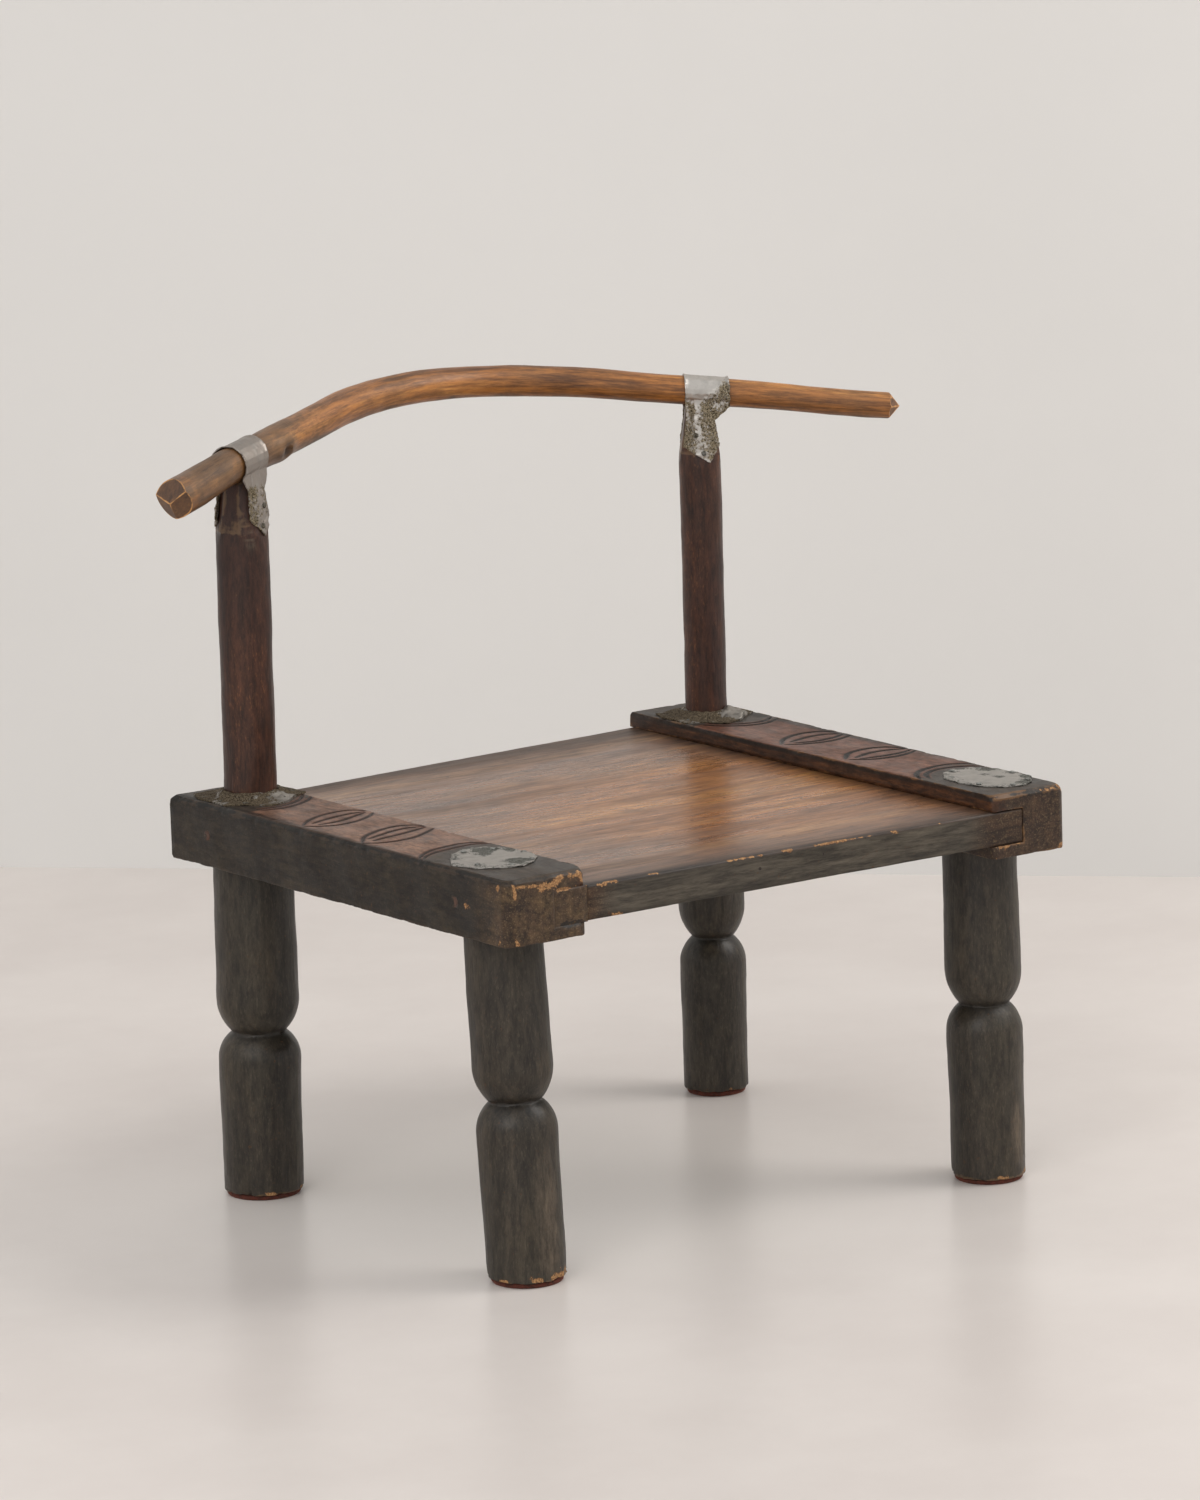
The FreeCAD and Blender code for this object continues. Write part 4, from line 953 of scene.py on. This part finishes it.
def make_bow(branch_finish, cut_finish):
    stations = bow_stations()
    places = [(station[0] + SEAT_MIDDLE) / 1000 for station in stations]

    def setting(number):
        """Where a unit ring goes at a station: its axis along the branch, its Y near to up."""
        _, along, width = stations[number]
        side = along.cross(UP).normalized()
        lift = side.cross(along)
        turn = Matrix((side, lift, along)).transposed().to_4x4()
        return Matrix.Translation(places[number]) @ turn @ Matrix.Scale(width / 2000, 4)

    stock = bmesh.new()
    names = ("dirt_and_shade", "carved", "edge")
    stock.verts.layers.float_vector.new("branch_grain")
    for name in names:
        stock.verts.layers.float.new(name)
    grain_layer = stock.verts.layers.float_vector["branch_grain"]
    dirt_and_shade_layer, carved_layer, edge_layer = (stock.verts.layers.float[name] for name in names)
    ring = bmesh.ops.create_circle(stock, segments=44, radius=1.0)["verts"]
    bmesh.ops.transform(stock, matrix=setting(0), verts=ring)
    edges = stock.edges[:]
    travelled = 0.0
    marks = []

    def mark(verts, number):
        for vertex in verts:
            local = setting(number).inverted() @ vertex.co
            marks.append((vertex, number, travelled, math.atan2(local.y, local.x)))

    mark(ring, 0)
    for number in range(1, len(stations)):
        made = bmesh.ops.extrude_edge_only(stock, edges=edges)["geom"]
        verts = verts_of(made)
        edges = [e for e in edges_of(made) if e.verts[0] in verts and e.verts[1] in verts]
        bmesh.ops.transform(stock, matrix=setting(number) @ setting(number - 1).inverted(), verts=verts)
        travelled += (stations[number][0] - stations[number - 1][0]).length / 1000
        mark(verts, number)
    bmesh.ops.holes_fill(stock, edges=[e for e in stock.edges if len(e.link_faces) == 1])
    knot = at(*KNOT)
    for vertex, number, travel, turn in marks:
        vertex[grain_layer] = Vector((travel, math.cos(turn) * 0.013, math.sin(turn) * 0.013))
        out = (vertex.co - places[number]) / (stations[number][2] / 2000)
        place = Vector((travel / 0.05, math.cos(turn) * 0.6, math.sin(turn) * 0.6))
        swell = 0.0006 * noise.noise(place) + 0.00025 * noise.noise(place * 3.3)
        from_knot = (vertex.co - knot).length
        swell += 0.0034 * bell(from_knot, 0.011) - 0.0056 * bell(from_knot, 0.0045)
        vertex.co += out * swell
        # Darker on the underside: painted shade. Dirt along the top, near the left end and round the knot.
        under = max(0.0, -math.sin(turn)) ** 1.5
        over = max(0.0, math.sin(turn) - 0.55)
        near_left = 1 - between(travel, 0.08, 0.3)
        vertex[dirt_and_shade_layer] = 0.75 * under + 0.7 * over + 1.05 * near_left + 0.6 * bell(from_knot, 0.013)
        vertex[carved_layer] = bell(from_knot, 0.0055)
    for number, sign, low, facets in TIP_CUTS:
        tip = places[number] - UP * low / 1000
        for turn, lean in facets:
            turn, lean = math.radians(turn), math.radians(lean)
            side_way = (setting(number).to_3x3() @ Vector((math.cos(turn), math.sin(turn), 0))).normalized()
            normal = stations[number][1] * sign * math.cos(lean) + side_way * math.sin(lean)
            rim = edges_of(sliced(stock, tip, normal.normalized(), clear_outer=True))
            for face in bmesh.ops.holes_fill(stock, edges=rim)["faces"]:
                face.material_index = 1
    split_faces(stock, 4)
    refined(stock, near_tree([places[0], places[-1]]), 0.014, 0.0016)
    arrises = arris_tree(stock, lambda p: any((p - places[n]).length < 0.02 for n in (0, -1)), 20.0)
    left_tip = setting(0).inverted()
    for vertex in stock.verts:
        vertex[edge_layer] = arrises.find(vertex.co)[2]
        local = left_tip @ vertex.co
        if abs(local.z) < 1.2:
            clean = 1 - between(math.hypot(local.x - 0.6, local.y + 0.5), 0.5, 1.0)
            vertex[dirt_and_shade_layer] = clean if local.y < 0.1 and local.x > 0 else 1.0
    piece("bow", stock, [branch_finish, cut_finish], ["back_bow"], 28.0)


def make_strap(side, finish):
    """The strap: a smooth band that stands a little off the branch, and a crusted tongue."""
    stock = stock_of(f"strap_{side}")
    scored(stock, 0.0014)
    crossing = (BOW_CROSSINGS[side] + SEAT_MIDDLE) / 1000
    out = (BOW_CROSSINGS[side] - BOW_CORNER).normalized()
    across = Vector((0.81, -0.59, 0))
    ends = [(v.co - crossing).dot(out) for v in stock.verts]
    low, high = min(ends), max(ends)
    moves = []
    for vertex in stock.verts:
        spot = vertex.co - crossing
        along = spot.dot(out)
        flare = 0.0013 * between(along, high - 0.005, high) + 0.0006 * between(-along, -low - 0.004, -low)
        moves.append((vertex, (spot - out * along).normalized() * flare * between(spot.z, -0.012, -0.006)))
    moved(moves)

    def crust(vertex):
        spot = vertex.co - crossing
        to_side = spot.dot(across)
        if side == "left":
            return between(-spot.z, 0.012, 0.022) * (1 - 0.45 * between(to_side, 0.011, 0.0145))
        reach = between(-spot.z + 0.75 * abs(to_side + 0.001), 0.002, 0.014)
        ridge = 1 - between(abs(to_side + 0.001), 0.001, 0.0035)
        return reach * (1 - 0.45 * ridge) * (1 - 0.3 * between(-spot.z, 0.046, 0.054))

    painted(stock, pitted=lambda v: 1.35 * crust(v))
    hewn(stock, 0.00025, 0.006, 1.0)
    hewn(stock, 0.0010, 0.0032, 2.0, crust)
    piece(f"{side}_strap", stock, [finish], [f"strap_{side}"], 45.0)


def laid(stock, side):
    """Settles a patch, or its nails: a little nearer the front, and longer, than the plain disc."""
    low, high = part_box(f"patch_{side}")
    middle = (low + high) / 2
    shift = PATCH_SHIFT[side]
    for vertex in stock.verts:
        vertex.co.x = middle.x + shift[0] / 1000 + (vertex.co.x - middle.x) * 1.03
        vertex.co.y = middle.y + shift[1] / 1000 + (vertex.co.y - middle.y) * 1.08


def make_patch(side, finish):
    stock = stock_of(f"patch_{side}")
    rim = arris_tree(stock)
    scored(stock, 0.002)
    low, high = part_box(f"patch_{side}")
    middle = (low.x + high.x) / 2

    def corroded(vertex):
        """At the rim, and in blotches over the inner half."""
        blotch = between(noise.noise(vertex.co / 0.013 + UP * 4), -0.3, 0.25)
        return max(0.8 * (1 - between(rim.find(vertex.co)[2], 0.002, 0.010)),
                   2.1 * blotch * between(vertex.co.x - middle, -0.008, 0.010))

    painted(stock, pitted=corroded)
    hewn(stock, 0.00025, 0.006, 2.0)
    hewn(stock, 0.0008, 0.010, 5.0, lambda v: 1 - between(rim.find(v.co)[2], 0.003, 0.012))
    laid(stock, side)
    piece(f"{side}_patch", stock, [finish], [f"patch_{side}"], 40.0)


def make_collar(side, finish):
    """The crumpled sheet round a post's foot: folds rise towards the post, and one raised fold has a painted
    highlight.
    """
    stock = stock_of(f"collar_{side}")
    scored(stock, 0.0018)
    post = at(BOW_CROSSINGS[side].x, BOW_CROSSINGS[side].y + 0.9)
    *shine, painted_highlight, height = COLLAR_SHINE[side]
    shine = at(*shine, 307)
    for vertex in stock.verts:
        spot = vertex.co
        if spot.z > 0.3068:
            far = (spot.xy - post.xy).length
            turn = math.atan2(spot.y - post.y, spot.x - post.x)
            fold = 1 - 2 * abs(noise.noise(Vector((turn * 2.6, far / 0.02, 7.0))))
            crease = 1 - 2 * abs(noise.noise(spot / 0.009))
            spot.z += ((0.0014 * fold + 0.0008 * crease) * (1 - between(far, 0.024, 0.040))
                       + height * (0.8 + crease) * (1 - between((spot - shine).length, 0.006, 0.016)))
    # Painted highlight: few pits, so bright bare metal, round the shining fold; cleaner blotches elsewhere.
    painted(stock, pitted=lambda v: 1.9 - painted_highlight * (1 - between((v.co - shine).length, 0.007, 0.02))
            - 0.7 * between(noise.noise(v.co / 0.011), 0.0, 0.4))
    hewn(stock, 0.0005, 0.006, 3.0)
    piece(f"{side}_collar", stock, [finish], [f"collar_{side}"], 25.0)


def make_nails(side, kind, finish):
    """Nail heads with softened, uneven rims."""
    node = f"{kind}_nails_{side}"
    stock = stock_of(node)
    bmesh.ops.dissolve_limit(stock, angle_limit=math.radians(2), verts=stock.verts, edges=stock.edges)
    rims = [e for e in stock.edges if len(e.link_faces) == 2 and e.calc_face_angle(0) > math.radians(40)]
    bmesh.ops.bevel(stock, geom=rims, offset=0.00035, segments=2, profile=0.5, affect="EDGES", material=-1)
    hewn(stock, 0.0002, 0.002, 4.0)
    painted(stock, pitted=lambda v: 0.5)
    if kind == "patch":
        laid(stock, side)
    piece(f"{side}_{kind}_nail_heads", stock, [finish], [node], 40.0)


def make_pad(name, node, finish):
    """A disc of felt that bulges a little between leg and floor."""
    low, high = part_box(node)
    radius, height = (high.x - low.x) / 2, high.z - low.z
    stock = bmesh.new()
    bmesh.ops.create_circle(stock, segments=48, radius=radius - 0.0008, cap_ends=True)
    raised = bmesh.ops.extrude_face_region(stock, geom=stock.faces[:])["geom"]
    bmesh.ops.translate(stock, verts=verts_of(raised), vec=UP * height)
    for cut in range(1, 5):
        sliced(stock, UP * (height * cut / 5), UP)
    for vertex in stock.verts:
        bulge = math.sin(math.pi * min(1.0, max(0.0, vertex.co.z / height))) ** 0.6
        wave = 0.0005 * noise.noise(vertex.co / 0.004)
        share = 1 + (0.0008 * bulge + wave * bulge) / radius
        vertex.co.x *= share
        vertex.co.y *= share
    bmesh.ops.translate(stock, verts=stock.verts, vec=((low.x + high.x) / 2, (low.y + high.y) / 2, low.z))
    piece(name, stock, [finish], [node], 60.0)


def make_peg(name, node, finish):
    stock = stock_of(node)
    scored(stock, 0.0012, "yz")
    hewn(stock, 0.0002, 0.0025, 6.0)
    piece(name, stock, [finish], [node])


def build_chair():
    rail_finishes = {
        "left": make_rail_finish("stained_left_rail", "563c2f 725444 856654", "2f231c 483728 645036",
                                 "4a3a2c", "24160f"),
        "right": make_rail_finish("stained_right_rail", "472d23 623f31 775342", "2b1f18 3c2b20 4a3727",
                                  "86603c", "100a07"),
    }
    leg_finish = make_leg_finish()
    strap_finishes = {
        "left": make_sheet_finish("dull_strap_sheet", "958d86 332b20 8c8069", 0.0, 0.38, 260.0),
        "right": make_sheet_finish("bright_strap_sheet", "bbb6b0 332b20 968a74", 0.0, 0.36, 260.0),
    }
    patch_finish = make_sheet_finish("beaten_patch_sheet", "a39f99 35332f 74746e", 0.1, 0.42, 220.0)
    collar_finish = make_sheet_finish("crumpled_collar_sheet", "8e8982 2c251e 685d4d", 0.0, 0.42, 300.0)
    crusted_nails = make_sheet_finish("crusted_nail_iron", "6f6e6a 2a2722 6b6558", 0.9, 0.5, 500.0)
    dented_nails = make_sheet_finish("dented_nail_iron", "8f908c 44423d 7a7974", 0.4, 0.5, 500.0)
    nail_finishes = {"strap": crusted_nails, "patch": dented_nails, "collar": crusted_nails}
    felt, peg_finish = make_felt_finish(), make_peg_finish()
    make_seat(make_seat_finish())
    make_bow(make_branch_finish(), make_knife_cut_finish())
    for side in ("left", "right"):
        make_rail(side, rail_finishes[side])
        make_strap(side, strap_finishes[side])
        make_patch(side, patch_finish)
        make_collar(side, collar_finish)
        for kind, finish in nail_finishes.items():
            make_nails(side, kind, finish)
        for end in ("front", "rear"):
            make_leg(f"{end}_leg_{side}", leg_finish)
            make_pad(f"{end}_{side}_pad", f"foot_pad_{end}_{side}", felt)
            make_peg(f"{end}_{side}_peg", f"peg_{end}_{side}", peg_finish)


# ---------------------------------------------------------------- camera, light and room

def set_camera():
    """The camera of the photograph, from the fit to the seat, the posts and the feet."""
    yaw, pitch, roll = 0.620433608, 0.192232360, -0.0313852815
    ahead = Vector((math.sin(yaw) * math.cos(pitch), math.cos(yaw) * math.cos(pitch), -math.sin(pitch)))
    level = Vector((math.cos(yaw), -math.sin(yaw), 0))
    rise = level.cross(ahead)
    right = level * math.cos(roll) + rise * math.sin(roll)
    top = rise * math.cos(roll) - level * math.sin(roll)
    lens = bpy.data.cameras.new("photo_camera")
    lens.lens, lens.sensor_width = 144, 36
    camera = in_scene("photo_camera", lens)
    pose = Matrix((right, top, -ahead)).transposed().to_4x4()
    pose.translation = at(-2566.88571, -3575.60439, 1191.33784)
    camera.matrix_world = pose
    bpy.context.scene.camera = camera


def stage_plane(name, corners, finish):
    stock = bmesh.new()
    stock.faces.new([stock.verts.new(c) for c in corners])
    mesh_item(name, stock, [finish])


def set_room():
    f = Finish("painted_floor")
    clouds = f.noise(f.place, 2.2, 9.0, 0.62)
    specks = f.shared(WORM_SPECKS, Place=f.place, Scale=9.0, Share=0.12, Size=0.016)["Mask"]
    colour = f.mixed(f.step(clouds, 0.3, 0.7), "d3cbc6", "ded7d2")
    # Painted light: the floor is painted paler round the chair's middle, where the seat's shadow falls.
    from_middle = f.put("VectorMath", {0: f.place, 1: at(-70, 40)}, operation="DISTANCE").outputs["Value"]
    painted_light_under_seat = f.minus(1.0, f.step(from_middle, 0.08, 0.36))
    colour = f.over(colour, "f6f0ea", painted_light_under_seat, 0.75)
    colour = f.over(colour, "b5aca4", specks, 0.5)
    dull = f.added(f.noise(f.place, 5.0, 3.0), 0.12, 0.25)
    floor = f.made(Base_Color=colour, Roughness=dull, Specular_IOR_Level=0.4)
    stage_plane("floor", [(-9, -9, 0), (9, -9, 0), (9, 9, 0), (-9, 9, 0)], floor)

    f = Finish("plaster_wall")
    clouds = f.step(f.noise(f.place, 0.8, 5.0), 0.3, 0.7)
    wall = f.made(Base_Color=f.mixed(clouds, "e0dedb", "e6e4e1"), Roughness=0.9)
    behind = f.put("NewGeometry").outputs["Backfacing"]
    clear = f.put("BsdfTransparent").outputs[0]
    seen = f.put("MixShader", {0: behind, 1: f.shader.outputs[0], 2: clear}).outputs[0]
    f.wire(seen, f.tree.nodes["Material Output"].inputs["Surface"])
    foot, run = at(640, 918), Vector((0.69, -0.72, 0)).normalized() * 7
    rise = UP * 4
    stage_plane("wall", [foot - run, foot + run, foot + run + rise, foot - run + rise], wall)


def soft_light(name, place, width, height, power):
    """A rectangle of light turned to the chair."""
    light = bpy.data.lights.new(name, "AREA")
    light.shape, light.size, light.size_y = "RECTANGLE", width, height
    light.energy, light.color = power, hue("fffcf8")[:3]
    lamp = in_scene(name, light)
    lamp.location = place
    lamp.rotation_euler = (Vector((0, 0, 0.3)) - Vector(place)).to_track_quat("-Z", "Y").to_euler()


def set_light():
    world = bpy.data.worlds.new("studio_air")
    bpy.context.scene.world = world
    world.use_nodes = True
    air = world.node_tree.nodes["Background"]
    air.inputs["Color"].default_value = hue("e8e8e8")
    air.inputs["Strength"].default_value = 1.0
    soft_light("window", (1.9, -1.2, 2.3), 1.6, 1.6, 42)
    soft_light("bounce", (-2.6, -1.6, 1.9), 2.2, 1.6, 26)


bpy.context.scene.view_settings.view_transform = "Standard"
set_camera()
build_chair()
set_room()
set_light()
